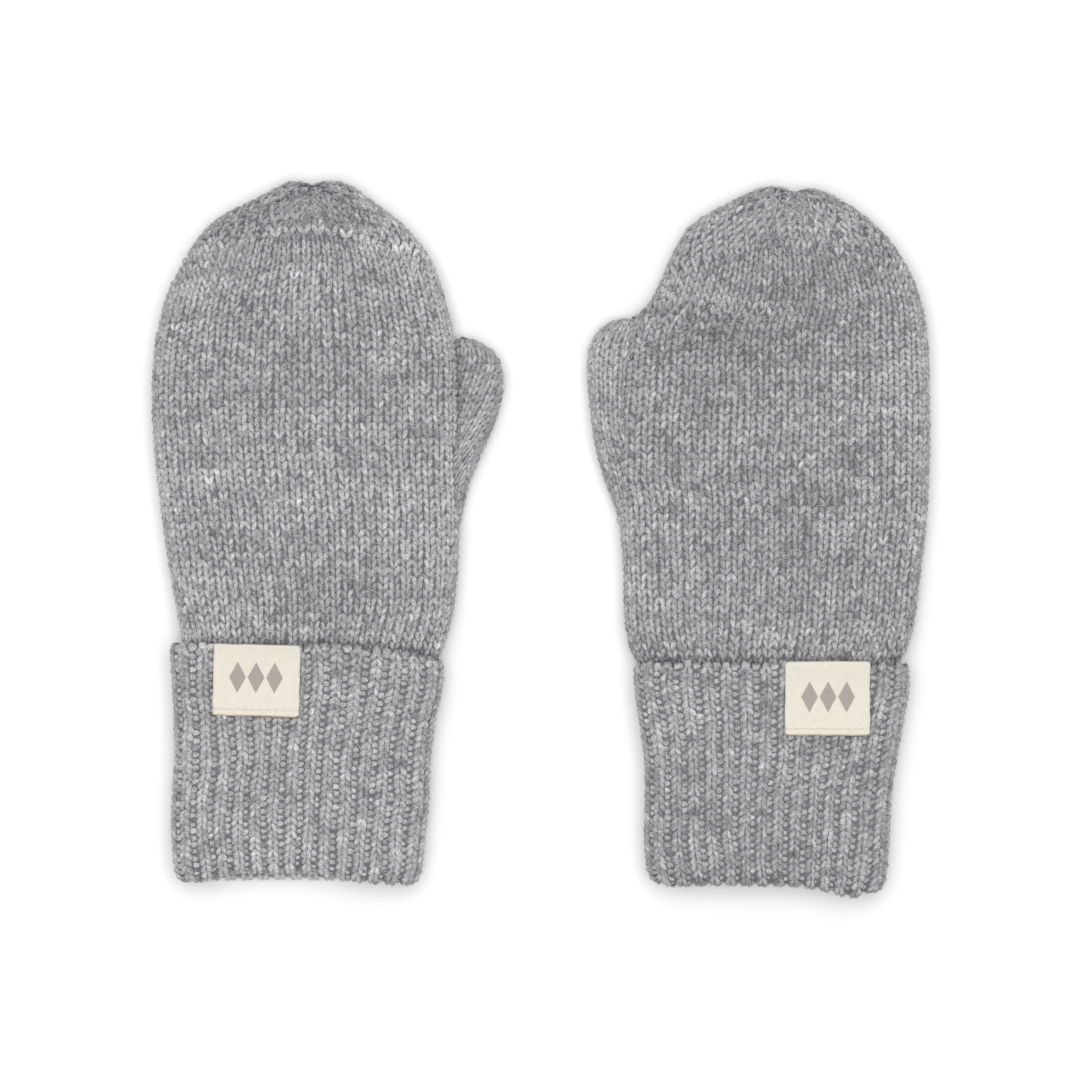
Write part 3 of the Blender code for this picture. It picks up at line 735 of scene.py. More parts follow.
def heather(wale, course, seed):
    """How light each stitch is, 0 to 1: long streaks along the course, as the spun yarn changes, with
    clouds and single stitches on top."""
    level = course + 1.1 * drift(wale / 7, course / 9, seed + 1)
    level = level + 0.5 * drift(wale / 2, course / 3, seed + 2)
    streak = drift(wale / 5, level * 0.9 + 0.31, seed + 3)
    cloud = drift(wale / 9 + 0.3 * drift(wale / 4, course / 4, seed + 9), level / 7, seed + 4)
    patch = drift(wale / 2.1, level / 1.6, seed + 5)
    single = np.random.default_rng(seed + 6).normal(0, 1, len(wale))
    return np.clip(0.5 + (0.08 * streak + 0.12 * cloud + 0.06 * patch + 0.03 * single), 0, 1)


def mesh_object(name, points, faces, sheet=None, colours=None, spun=None, smooth=True):
    """An object from arrays: points in mm, faces of four corners, a place on the sheet, a colour and a
    place on the yarn for each point. A face whose last two corners are one point is made a triangle."""
    mesh = bpy.data.meshes.new(name)
    mesh.vertices.add(len(points))
    mesh.vertices.foreach_set("co", np.ascontiguousarray(points * MM, np.float32).ravel())
    sides = np.where(faces[:, 2] == faces[:, 3], 3, 4)
    corners = faces[np.arange(4)[None] < sides[:, None]]
    mesh.loops.add(len(corners))
    mesh.loops.foreach_set("vertex_index", corners.astype(np.int32))
    mesh.polygons.add(len(faces))
    mesh.polygons.foreach_set("loop_start", (np.cumsum(sides) - sides).astype(np.int32))
    mesh.update(calc_edges=True)
    if sheet is not None:
        layer = mesh.uv_layers.new(name="OFBake")
        layer.data.foreach_set("uv", np.ascontiguousarray(sheet[corners], np.float32).ravel())
    if colours is not None:
        store = mesh.color_attributes.new("heather", "FLOAT_COLOR", "POINT")
        full = np.ones((len(points), 4), np.float32)
        full[:, :3] = colours
        store.data.foreach_set("color", full.ravel())
    if spun is not None:
        store = mesh.attributes.new("spun", "FLOAT_VECTOR", "POINT")
        store.data.foreach_set("vector", np.ascontiguousarray(spun, np.float32).ravel())
    if smooth:
        mesh.polygons.foreach_set("use_smooth", np.ones(len(faces), bool))
    thing = bpy.data.objects.new(name, mesh)
    bpy.context.scene.collection.objects.link(thing)
    return thing


def shell_object(name, cloth, keep, closed_end, thickness):
    """The cloth itself: every second row and column of its grid as a mesh, with a point at the closed
    end, and a wall's thickness."""
    points = cloth.points[(len(cloth.points) - 1) % 2 :: 2, ::2]
    rows, columns = points.shape[:2]
    flat = points.reshape(-1, 3)
    first = (np.arange(rows - 1)[:, None] * columns + np.arange(columns)[None]).ravel()
    beside = (np.arange(rows - 1)[:, None] * columns + (np.arange(columns)[None] + 1) % columns).ravel()
    faces = np.stack([first, beside, beside + columns, first + columns], -1)
    centre = flat[faces].mean(1)
    faces = faces[keep(centre)]
    sheet = np.stack(np.meshgrid(np.arange(columns) / columns, np.arange(rows) / rows), -1).reshape(-1, 2)
    if closed_end:
        pole = flat[-columns:].mean(0)
        flat = np.vstack([flat, pole])
        sheet = np.vstack([sheet, [0.5, 1.0]])
        ring = (rows - 1) * columns + np.arange(columns)
        after = (rows - 1) * columns + (np.arange(columns) + 1) % columns
        end = np.full(columns, len(flat) - 1)
        faces = np.vstack([faces, np.stack([ring, after, end, end], -1)])
    used, index = np.unique(faces, return_inverse=True)
    thing = mesh_object(name, flat[used], index.reshape(faces.shape), sheet[used])
    wall = thing.modifiers.new("Cloth", "SOLIDIFY")
    wall.thickness = thickness * MM
    wall.offset = -1
    return thing


def tinted(tones, looks):
    """Colours between the dark and the light fibre, and past them by a little."""
    dark, light = np.array(looks.dark), np.array(looks.light)
    return dark + (light - dark) * np.clip(tones, -0.2, 1.05)[:, None]


def loose_fibres(name, cloth, count, wales, low, high, seed, looks):
    """Single wool fibres lying on the cloth: each a flat ribbon 0.08 mm wide, wider than it really is,
    along a path that leaves its root, bends sideways as the square of its length, and rises in a low
    arc."""
    rng = np.random.default_rng(seed)
    wale, course = rng.uniform(0, wales, count), rng.uniform(low, high, count)
    size = rng.uniform(*FIBRE_LENGTHS, count)
    heading = rng.uniform(0, 2 * math.pi, count)
    bend = rng.normal(0, 0.5, count)
    lift = rng.uniform(0.1, 0.75, count) ** 1.5
    s = np.linspace(0, 1, 4)[None]
    root = cloth.at(wale, course, np.full(count, 0.45))
    out = cloth.at(wale, course, np.full(count, 1.45)) - root
    across = cloth.at(wale + 0.1, course, np.full(count, 0.45)) - root
    across /= np.maximum(np.linalg.norm(across, axis=1, keepdims=True), 1e-9)
    along = np.cross(out, across)
    ahead = across * np.cos(heading)[:, None] + along * np.sin(heading)[:, None]
    aside = along * np.cos(heading)[:, None] - across * np.sin(heading)[:, None]
    path = (
        root[:, None]
        + (size[:, None] * s)[..., None] * ahead[:, None]
        + (size[:, None] * bend[:, None] * s**2)[..., None] * aside[:, None]
        + (lift[:, None] * (2.6 * s * (1 - s) + 0.5 * s))[..., None] * out[:, None]
    )
    width = FIBRE_HALF_WIDTH * np.interp(s, [0, 0.6, 1], [1, 0.9, 0.2])[..., None]
    pair = np.stack([path - aside[:, None] * width, path + aside[:, None] * width], 2)
    points = pair.reshape(-1, 3)
    first = (np.arange(count)[:, None] * 8 + np.arange(3)[None] * 2).ravel()
    faces = np.stack([first, first + 2, first + 3, first + 1], -1)
    tone = np.repeat(rng.uniform(0.45, 1.0, count), 8)
    points[:, 2] = np.clip(points[:, 2], 0.05, None)
    thing = mesh_object(name, points, faces, None, np.array(looks.loose) * tone[:, None])
    thing.data.materials.append(loose_wool())
    return thing


def node(tree, kind, inputs=(), settings=(), links=()):
    """Adds one node: its input values, its settings, and links as (input, other node, its output)."""
    made = tree.nodes.new(kind)
    for key, value in settings:
        setattr(made, key, value)
    for key, value in inputs:
        made.inputs[key].default_value = value
    for key, other, socket in links:
        tree.links.new(other.outputs[socket], made.inputs[key])
    return made


def finish_of(name, roughness, sheen, specular):
    """A new material with its shader's plain numbers set."""
    made = bpy.data.materials.new(name)
    made.use_nodes = True
    shader = made.node_tree.nodes["Principled BSDF"]
    shader.inputs["Roughness"].default_value = roughness
    shader.inputs["Sheen Weight"].default_value = sheen
    shader.inputs["Sheen Roughness"].default_value = 0.55
    shader.inputs["Specular IOR Level"].default_value = specular
    return made, made.node_tree, shader


def wool_yarn():
    """Woollen-spun yarn, two fibres of grey loosely twisted: matt, streaked aslant each strand, with a
    faint nap that catches light at the rim. Fibres are 0.02 mm; they are drawn 0.25 mm wide to show."""
    made = bpy.data.materials.get("Spun grey wool yarn")
    if made:
        return made
    made, tree, shader = finish_of("Spun grey wool yarn", 0.92, 0.25, 0.2)
    yarn = node(tree, "ShaderNodeAttribute", settings=[("attribute_name", "spun")])
    stretch = node(
        tree, "ShaderNodeMapping", [("Scale", (3.8, 0.9, 1.0)), ("Rotation", (0, 0, 0.4))],
        links=[("Vector", yarn, "Vector")],
    )
    fibres = node(
        tree, "ShaderNodeTexNoise", [("Scale", 1.0), ("Detail", 2.0)],
        links=[("Vector", stretch, "Vector")],
    )
    places = node(tree, "ShaderNodeTexCoord")
    flecks = node(
        tree, "ShaderNodeTexNoise", [("Scale", 2200.0), ("Detail", 2.0)],
        links=[("Vector", places, "Object")],
    )
    both = node(
        tree, "ShaderNodeMath", settings=[("operation", "ADD")],
        links=[(0, fibres, "Fac"), (1, flecks, "Fac")],
    )
    amount = node(
        tree, "ShaderNodeMapRange",
        [("From Min", 0.7), ("From Max", 1.3), ("To Min", 0.52), ("To Max", 1.48)],
        links=[("Value", both, 0)],
    )
    tone = node(tree, "ShaderNodeAttribute", settings=[("attribute_name", "heather")])
    colour = node(
        tree, "ShaderNodeVectorMath", settings=[("operation", "SCALE")],
        links=[("Vector", tone, "Color"), ("Scale", amount, "Result")],
    )
    tree.links.new(colour.outputs["Vector"], shader.inputs["Base Color"])
    relief = node(
        tree, "ShaderNodeBump", [("Strength", 0.5), ("Distance", 0.0002)], links=[("Height", both, 0)]
    )
    tree.links.new(relief.outputs["Normal"], shader.inputs["Normal"])
    return made


def wool_ground(looks):
    """The same yarn where it passes behind the stitches, felted, without clear strands; its colour is
    painted darker for the shade that falls between the stitches.
    """
    made = bpy.data.materials.get("Felted wool ground")
    if made:
        return made
    made, tree, shader = finish_of("Felted wool ground", 0.95, 0.1, 0.1)
    places = node(tree, "ShaderNodeTexCoord")
    flecks = node(
        tree, "ShaderNodeTexNoise", [("Scale", 900.0), ("Detail", 3.0)],
        links=[("Vector", places, "Object")],
    )
    # painted shade: the ground mixes its colour with a darker grey in flecks
    dark = tuple(0.62 * c for c in looks.ground)
    mix = node(
        tree, "ShaderNodeMix", [("A", (*dark, 1)), ("B", (*looks.ground, 1))],
        [("data_type", "RGBA")], [("Factor", flecks, "Fac")],
    )
    tree.links.new(mix.outputs["Result"], shader.inputs["Base Color"])
    relief = node(
        tree, "ShaderNodeBump", [("Strength", 0.4), ("Distance", 0.0003)],
        links=[("Height", flecks, "Fac")],
    )
    tree.links.new(relief.outputs["Normal"], shader.inputs["Normal"])
    return made


def loose_wool():
    """Single loose fibres: pale, soft, with no gloss."""
    made = bpy.data.materials.get("Loose wool fibre")
    if made:
        return made
    made, tree, shader = finish_of("Loose wool fibre", 0.9, 0.2, 0.1)
    tone = node(tree, "ShaderNodeAttribute", settings=[("attribute_name", "heather")])
    tree.links.new(tone.outputs["Color"], shader.inputs["Base Color"])
    return made


def declare(shell, on_it, solid):
    """Hangs a cloth piece and what rides with it under the root body, and hides the solid it stands for."""
    for piece in (shell, *on_it):
        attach(piece, "root")
    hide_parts(solid)


def hand_places(mitten, ridge, sizes):
    """Wale and course of the hand's stitches up to the ridge, in straight columns that wander a little,
    and more where the cloth gathers above the cuff."""
    row = sizes.course / MM
    start = int((mitten.free_edge[1][1] - 7 - mitten.seam) / row)
    wale, course = np.meshgrid(np.arange(sizes.wales) + 0.5, np.arange(start, ridge) + 0.5)
    near_cuff = bell((course + 0.5) * row + mitten.seam - mitten.free_edge[1][1] - 3, 5.0)
    wander = 1 + 2.0 * near_cuff
    wale_on = wale + 0.10 * wander * drift(wale / 3, course / 5, mitten.seed + 7)
    course_on = course + 0.16 * wander * drift(wale / 2.5, course / 3, mitten.seed + 8)
    return wale_on.ravel(), course_on.ravel()


def tip_places(mitten, cloth, ridge, tip, sizes):
    """Wale, course, heading and boldness of the stitches past the ridge, and their sizes in mm. They
    stand in rows parallel to the ridge, over the finger end and down to the palm, on the end rolled out
    flat: of the places along each row those are kept that lie a full stitch from all kept before. Two
    small rings close the gather first, and half rows fill what is left open. Each stitch heads half
    straight on and half towards the gather."""
    start, goal = tip
    row = sizes.course / MM
    middle = len(start) // 2
    spokes = start - goal
    bearing = np.unwrap(np.arctan2(spokes[:, 1], spokes[:, 0]))
    way_round = np.sign(bearing[-1] - bearing[0])
    bearing = way_round * np.append(bearing, bearing[0] + way_round * 2 * math.pi)
    columns = np.arange(len(bearing)) / cloth.per_wale
    reach = np.hypot(*spokes.T)
    reach = np.append(reach, reach[0])

    def onto(x, way):
        """The wale and course of a place, and how much of its spoke lies between it and the gather."""
        angle = way_round * np.arctan2(way - goal[1], x - goal[0])
        angle = bearing[0] + (angle - bearing[0]) % (2 * math.pi)
        share = np.hypot(x - goal[0], way - goal[1]) / np.interp(angle, bearing, reach)
        return np.interp(angle, bearing, columns), ridge + (1 - share) * CAP_ROWS / cloth.per_course, share

    def towards(first, second):
        step = second - first
        return step / np.maximum(np.linalg.norm(step, axis=1, keepdims=True), 1e-9)

    upper, lower = start[: middle + 1], start[middle:][::-1]
    full, half, spare = np.arange(30) + FULL_ROW, np.arange(30) + HALF_ROW, np.arange(60) / 2 + SPARE_ROW
    rows = np.concatenate([full, half, spare]) * row
    x, level = np.meshgrid(np.arange(start[:, 0].min() + 0.4, start[:, 0].max() - 0.4, 0.25), rows)
    x, level = x.ravel(), level.ravel()
    way = np.interp(x, upper[:, 0], upper[:, 1]) - level
    inside = way > np.interp(x, lower[:, 0], lower[:, 1]) + 0.4 * row
    x, level, way = x[inside], level[inside], way[inside]
    part = np.round(level / row % 1, 2)
    wide = np.select([part == FULL_ROW, part == HALF_ROW], [FULL_WIDTH, HALF_WIDTH], SPARE_WIDTH)
    turn = [np.arange(r.stitches) / r.stitches + r.start for r in GATHER_RINGS]
    turn = np.concatenate(turn) * 2 * math.pi
    each = [r.stitches for r in GATHER_RINGS]
    away = np.repeat([r.away for r in GATHER_RINGS], each)
    x = np.concatenate([goal[0] + away * np.cos(turn), x])
    way = np.concatenate([goal[1] + away * np.sin(turn), way])
    level = np.concatenate([away * 0 + AT_GATHER, level])
    size = np.concatenate([np.repeat([r.size for r in GATHER_RINGS], each), wide])
    wale, course, share = onto(x, way)
    inside = share < 0.999
    x, level, way, wale, course, size = (n[inside] for n in (x, level, way, wale, course, size))
    flat = np.zeros(len(x))
    centre = cloth.at(wale, course, flat)
    out = cloth.at(wale, course, flat + 1) - centre
    on = towards(centre, cloth.at(*onto(x, way - 0.4)[:2], flat))
    last = ridge + CAP_ROWS / cloth.per_course - 0.1
    drawn = towards(centre, cloth.at(wale, np.minimum(course + 0.2, last), flat))
    lean = np.select([level == AT_GATHER, level > row], [1.0, 0.5], 0.0)[:, None]
    ahead = towards(flat[:, None], on * (1 - lean) + drawn * lean)
    ahead = towards(flat[:, None], ahead - out * (ahead * out).sum(1, keepdims=True))
    aside = np.cross(ahead, out)
    first_row = (level > 0.3 * row) & (level < 0.6 * row)
    bold = first_row & (mitten.ridge_rise > 0.5) & (centre[:, 2] > 6)
    size = np.where(bold, RIDGE_WIDTH, size)
    kept = list(range(RING_STITCHES))
    for k in range(RING_STITCHES, len(x)):
        apart = centre[kept] - centre[k]
        beside, before = apart @ aside[k] / size[k], apart @ ahead[k] / (ROOM_ALONG * size[k])
        if (beside**2 + before**2 >= 1).all():
            kept.append(k)
    return wale[kept], course[kept], ahead[kept], bold[kept].astype(float), size[kept] * 1.04


def hand_heather_and_painted_light(mitten, places, bold):
    """How light each stitch of the hand is: heather, with painted light and shade on top: lighter raised
    ridge stitches with painted shadow just below them and painted shade past the ridge, a painted pool
    of light near the left hand's top, paler towards the sides, a painted shadow line above the cuff's
    free edge, painted shade round the gather, and on the left hand a painted highlight along its edge
    above the thumb.
    """
    x, y, z = places.T
    tone = heather(x / 3.0 + 40 * (z < 3.0), y / 1.9, mitten.seed) + mitten.tone
    span = bell(x - mitten.gather[0], 22) * mitten.ridge_rise
    # painted highlight on the raised ridge stitches, painted shadow just below the ridge line
    tone += 0.30 * bold * span - 0.20 * span * bell(y - mitten.ridge_line + 1.6, 1.0)
    # painted pool of light at the top of the left hand
    tone += 0.22 * bell(np.hypot(x + 57.7, y - 66.0), 9.0)
    left, right = edges(mitten.hand, np.clip(y, mitten.hand[0].along, 80))
    tone += 0.09 * np.clip(np.abs(2 * (x - left) / (right - left) - 1), 0, 1) ** 3
    # painted shade on the cap just past the ridge
    tone -= 0.16 * span * bell(y - mitten.ridge_line - 5, 4.5)
    free = line(mitten.free_edge, x)
    # painted shadow on the hand just above the cuff's free edge
    tone -= 0.30 * bell(y - free - 0.5, 1.0) * (z > 5)
    # painted shade round the gather at the finger end
    tone -= 0.10 * bell(np.hypot(x - mitten.gather[0], y - mitten.gather[1]), 5.0)
    if mitten.name == "left":
        # painted highlight along the left hand's edge where it rolls over the thumb
        tone += 0.16 * bell(x + 22.0, 1.8) * ease((y - 10) / 8) * ease((56 - y) / 8) * (z > 5)
    return tone


def hand_stitches(mitten, cloth, ridge, tip, sizes, looks):
    """V stitches over the hand, point towards the cuff; underneath they are drawn with fewer faces."""
    rng = np.random.default_rng(mitten.seed + 20)
    wale, course = hand_places(mitten, ridge, sizes)
    flat = np.zeros(len(wale))
    places = cloth.at(wale, course, flat)
    column = cloth.at(wale, course + 0.5, flat) - cloth.at(wale, np.maximum(course - 0.5, 0), flat)
    column /= np.linalg.norm(column, axis=1, keepdims=True)
    out = cloth.at(wale, course, flat + 1) - places
    up = 0.5 * column + (0, 0.5, 0)
    up -= out * (up * out).sum(1, keepdims=True)
    up /= np.linalg.norm(up, axis=1, keepdims=True)
    beside = np.linalg.norm(cloth.at(wale + 0.5, course, flat) - cloth.at(wale - 0.5, course, flat), axis=1)
    size = np.clip(beside, 2.4, 3.1)
    shown = ~inside_thumb(mitten, places)
    leaning = (np.abs(column[:, 0]) > 0.22) & (places[:, 2] > 5)
    sets = []
    for chosen, heading in ((shown & ~leaning, None), (shown & leaning, up)):
        sets.append((
            wale[chosen], course[chosen], places[chosen], heading if heading is None else heading[chosen],
            np.zeros(chosen.sum()), size[chosen],
        ))
    wale, course, ahead, bold, size = tip_places(mitten, cloth, ridge, tip, sizes)
    sets.append((wale, course, cloth.at(wale, course, np.zeros(len(wale))), ahead, bold, size))
    fine = strand(KNIT_LEG, 3.05, sizes.course / MM)
    coarse = strand(KNIT_LEG._replace(sides=2), 3.05, sizes.course / MM)
    pieces = []
    for label, side, shape in (("back", 1, fine), ("palm", -1, coarse)):
        parts = []
        for wale, course, places, ahead, bold, size in sets:
            chosen = (places[:, 2] - 3.0) * side > 0
            if not chosen.any():
                continue
            tone = hand_heather_and_painted_light(mitten, places, bold)[chosen]
            for mirror in (1.0, -1.0):
                nudge = rng.normal(0, 1, (5, chosen.sum()))
                lift = 0.08 * nudge[2] + 0.25 * bold[chosen] + 0.1 * (size[chosen] < 2.3)
                copies = (
                    cloth, shape, wale[chosen] + 0.02 * nudge[0], course[chosen] + 0.07 * nudge[1],
                    mirror, lift, tone + 0.12 * nudge[3],
                )
                if ahead is None:
                    parts.append(laid(*copies, 1 + 0.08 * nudge[4]))
                else:
                    high = np.minimum(0.72 * size[chosen], sizes.course / MM)[:, None]
                    parts.append(upright(*copies, ahead[chosen], size[chosen][:, None], high))
        points, quads, tones, sheet, spun = joined(parts)
        points[:, 2] = np.clip(points[:, 2], 0.0, None)
        name = f"{mitten.name}_hand_{label}_stitches"
        thing = mesh_object(name, points, quads, sheet, tinted(tones, looks), spun)
        thing.data.materials.append(wool_yarn())
        pieces.append(thing)
    return pieces


def inside_thumb(mitten, points):
    """True for places on the hand's side that the thumb's tube covers."""
    rows = mitten.thumb.rows
    left, right = edges(rows, points[:, 1])
    along = (points[:, 1] > 9) & (points[:, 1] < 24.5)
    across = (points[:, 0] > left + 1.5) & (points[:, 0] < right - 1)
    return along & across & (points[:, 2] < 7.2) & (points[:, 2] > 1.5)


class MITTENS_OT_hands(bpy.types.Operator):
    """Knits the two hands: cloth, stitches and loose fibres"""

    bl_idname = "mittens.hands"
    bl_label = "Hands"

    def execute(self, context):
        sizes, looks = context.scene.knit_sizes, context.scene.wool_colours
        for mitten in (LEFT, RIGHT):
            whole, ridge, tip = hand_cloth(mitten, sizes)
            cloth = whole.lowered(KNIT_DEPTH)
            shell = shell_object(
                mitten.name + "_hand_cloth", cloth, lambda c: ~inside_thumb(mitten, c), True, CLOTH
            )
            shell.data.materials.append(wool_ground(looks))
            stitches = hand_stitches(mitten, cloth, ridge, tip, sizes, looks)
            low = (mitten.free_edge[1][1] + 1 - mitten.seam) / (sizes.course / MM)
            fibres = loose_fibres(
                mitten.name + "_hand_fibres", cloth, sizes.fuzz, sizes.wales, low, cloth.courses - 3,
                mitten.seed + 30, looks,
            )
            declare(
                shell, [*stitches, fibres], mitten.name + "_hand"
            )
        return {"FINISHED"}


class MITTENS_OT_thumbs(bpy.types.Operator):
    """Knits the two thumbs beside the hands"""

    bl_idname = "mittens.thumbs"
    bl_label = "Thumbs"

    def execute(self, context):
        sizes, looks = context.scene.knit_sizes, context.scene.wool_colours
        for mitten in (LEFT, RIGHT):
            cloth = thumb_cloth(mitten, sizes).lowered(KNIT_DEPTH * 0.9)
            shell = shell_object(
                mitten.name + "_thumb_cloth", cloth, lambda c: np.ones(len(c), bool), True, CLOTH * 0.8
            )
            shell.data.materials.append(wool_ground(looks))
            wales = mitten.thumb.wales
            wale, course = np.meshgrid(np.arange(wales) + 0.5, np.arange(1, math.ceil(cloth.courses)) + 0.5)
            wale, course = wale.ravel(), course.ravel()
            wale = wale + mitten.thumb.slant * course
            paler = 0.03 if mitten.name == "left" else 0.12
            tone = heather(wale, course, mitten.seed + 60) + mitten.tone + paler
            # on the left thumb, painted shadow from the hand's edge along the thumb's side next to it
            if mitten.name == "left":
                places = cloth.at(wale, course, np.zeros(len(wale)))
                tone -= 0.45 * bell(places[:, 0] - edges(mitten.thumb.rows, places[:, 1])[0], 1.7)
            rng = np.random.default_rng(mitten.seed + 61)
            shape = strand(KNIT_LEG, 2.9, sizes.course / MM)
            parts = []
            for mirror in (1.0, -1.0):
                nudge = rng.normal(0, 1, (4, len(wale)))
                parts.append(
                    laid(
                        cloth, shape, wale + 0.02 * nudge[0], course + 0.06 * nudge[1], mirror,
                        0.06 * nudge[2], tone + 0.12 * nudge[3], slant=mitten.thumb.slant,
                    )
                )
            points, quads, tones, sheet, spun = joined(parts)
            points[:, 2] = np.clip(points[:, 2], 0.0, None)
            name = mitten.name + "_thumb_stitches"
            stitches = mesh_object(name, points, quads, sheet, tinted(tones, looks), spun)
            stitches.data.materials.append(wool_yarn())
            fibres = loose_fibres(
                mitten.name + "_thumb_fibres", cloth, sizes.fuzz // 7, wales, 3, cloth.courses - 1,
                mitten.seed + 62, looks,
            )
            declare(
                shell, [stitches, fibres], mitten.name + "_thumb"
            )
        return {"FINISHED"}


class MITTENS_OT_cuffs(bpy.types.Operator):
    """Knits the two turned-up cuffs in one by one rib"""

    bl_idname = "mittens.cuffs"
    bl_label = "Cuffs"

    def execute(self, context):
        sizes, looks = context.scene.knit_sizes, context.scene.wool_colours
        for mitten in (LEFT, RIGHT):
            whole, ribs, outer = cuff_cloth(mitten, sizes)
            cloth = whole.lowered(KNIT_DEPTH * 0.85)
            hemmed = Cloth(cloth.points[1:], cloth.per_wale, cloth.per_course)
            shell = shell_object(
                mitten.name + "_cuff_cloth", hemmed, lambda c: np.ones(len(c), bool), False, CLOTH
            )
            shell.data.materials.append(wool_ground(looks))
            stitches = rib_stitches(mitten, cloth, ribs, outer, sizes, looks)
            fibres = loose_fibres(
                mitten.name + "_cuff_fibres", cloth, sizes.fuzz // 2, ribs, 0.5, outer,
                mitten.seed + 92, looks,
            )
            declare(
                shell, [stitches, fibres], mitten.name + "_cuff"
            )
        return {"FINISHED"}


def rib_stitches(mitten, cloth, ribs, outer, sizes, looks):
    """Rib: a column of V stitches on each rib, its point towards the free edge as the cuff is turned
    up, small purl bumps in each valley, and a row of loops along the free edge."""
    rng = np.random.default_rng(mitten.seed + 90)
    pitch, row = sizes.rib_pitch / MM, sizes.rib_course / MM
    last = outer + 10
    wale, course = np.meshgrid(np.arange(ribs) + 0.5, np.arange(0, last) + 0.75)
    wale, course = wale.ravel(), course.ravel()
    places = cloth.at(wale, course, np.zeros(len(wale)))
    fine_part = (places[:, 2] > 3.0) & (course < outer + 2) | (course > outer - 4) & (course < outer + 6)
    course = course + 0.14 * drift(wale / 2, course / 3, mitten.seed + 91)
    tone = heather(wale * 1.6, course, mitten.seed + 93) + mitten.tone + 0.03
    # painted light: the back layer's fold beyond the left cuff's front lip, in the lip's shade, is painted
    # lighter; a band along the front lip's fold is paler too
    if mitten.name == "left":
        lip = ease((places[:, 0] + 83) / 3) * ease((-47 - places[:, 0]) / 4)
        paler = np.where(places[:, 2] < 8, 0.35, 0.22 * bell(places[:, 1] + 82.5, 1.5))
        tone += lip * paler * (places[:, 1] < -80)
    fine, coarse = strand(RIB_LEG, pitch, row), strand(RIB_LEG._replace(sides=2), pitch, row)
    parts = []
    for chosen, shape in ((fine_part, fine), (~fine_part, coarse)):
        for mirror in (1.0, -1.0):
            nudge = rng.normal(0, 1, (4, chosen.sum()))
            parts.append(
                laid(
                    cloth, shape, wale[chosen] + 0.014 * nudge[0], course[chosen] + 0.07 * nudge[1],
                    mirror, 0.06 * nudge[2], tone[chosen] + 0.12 * nudge[3],
                )
            )
    for size, first, above, steps, paler in (
        (PURL, 0.0, 0.45, np.arange(0, last), 0.10),
        (EDGE_KNIT, 0.5, 0.25, np.zeros(1), 0.0),
        (EDGE_PURL, 0.0, 0.35, np.zeros(1), -0.12),
    ):
        across, level = np.meshgrid(np.arange(ribs) + first, steps + above)
        across, level = across.ravel(), level.ravel()
        nudge = rng.normal(0, 1, (4, len(across)))
        parts.append(
            laid(
                cloth, bump(*size), across + 0.015 * nudge[0], level + 0.09 * nudge[1], 1.0,
                0.07 * nudge[2] - 0.35 * bell(level - outer - 1.2, 1.2),
                heather(across * 1.6, level, mitten.seed + 94) + mitten.tone + paler + 0.12 * nudge[3],
            )
        )
    points, quads, tones, sheet, spun = joined(parts)
    points[:, 2] = np.clip(points[:, 2], 0.0, None)
    thing = mesh_object(mitten.name + "_cuff_stitches", points, quads, sheet, tinted(tones, looks), spun)
    thing.data.materials.append(wool_yarn())
    return thing


def label_cloth(mitten, across_steps, along_step):
    """The label's outer face as a grid: up its front, over the fold and down behind, turned by its
    tilt. Its side edges waver by a tenth of a millimetre; its front bows by a fifth."""
    label = mitten.label
    middle = (label.left + label.right) / 2
    free = float(line(mitten.free_edge, middle))
    front_z = 2 * CUFF_RADIUS + RIB_HEIGHT + SEAM_GAP + 0.9
    back_z = 2 * CUFF_RADIUS - RIB_WALL - SEAM_GAP - 0.9
    edge = label.top - LABEL_BEND
    down = np.arange(edge - label.bottom, 0, -along_step)

    def flare(below):
        return FLARE * np.clip(1 - below / FLARE_LENGTH, 0, 1) ** 2

    front = np.stack([edge - down, front_z + flare(down + free - edge)], -1)
    top, bottom = front_z + FLARE, back_z + FLARE
    corner = np.linspace(math.pi / 2, 0, 6)
    over = np.stack([edge + LABEL_BEND * np.cos(corner), top - LABEL_BEND + LABEL_BEND * np.sin(corner)], -1)
    under = over[::-1] * (1, -1) + (0, top + bottom)
    back = np.stack([free - np.array([0.4, LABEL_BACK]), back_z + flare(np.array([0.4, LABEL_BACK]))], -1)
    profile = np.concatenate([front, over, under, back])
    x = np.linspace(label.left, label.right, across_steps)
    points = np.empty((len(profile), across_steps, 3))
    points[..., 0] = x[None]
    points[..., 1:] = profile[:, None]
    half = (label.right - label.left) / 2
    centre_y = (label.top + label.bottom) / 2
    dx, dy = points[..., 0] - middle, points[..., 1] - centre_y
    near_side = np.clip(np.abs(dx) / half * 3 - 2, 0, 1)
    dx = dx + np.sign(dx) * near_side * (0.12 * drift(dy / 2.5, np.sign(dx) + 5, mitten.seed + 122))
    ends = np.abs(points[..., 1] - centre_y) / (label.top - label.bottom) * 2
    near_end = np.clip(ends * 4 - 3, 0, 1) * (np.arange(len(profile)) < len(front) + 6)[:, None]
    corners = 0.35 * np.clip(np.abs(dx) / half * 12 - 11, 0, 1) ** 2
    dy = dy + np.sign(dy) * near_end * (0.10 * drift(dx / 3, np.sign(dy) + 9, mitten.seed + 123) - corners)
    turn = math.radians(label.tilt)
    on_front = np.clip((free - profile[:, 0]) / 3, 0, 1)[:, None]
    bow = 0.2 * drift(dx / 9 + 3, dy / 9 + 5, mitten.seed + 120) * on_front
    points[..., 0] = middle + dx * math.cos(turn) - dy * math.sin(turn)
    points[..., 1] = centre_y + dx * math.sin(turn) + dy * math.cos(turn)
    points[..., 2] += bow
    lengths = np.concatenate([[0], np.cumsum(np.hypot(*np.diff(profile, axis=0).T))])
    return points, lengths


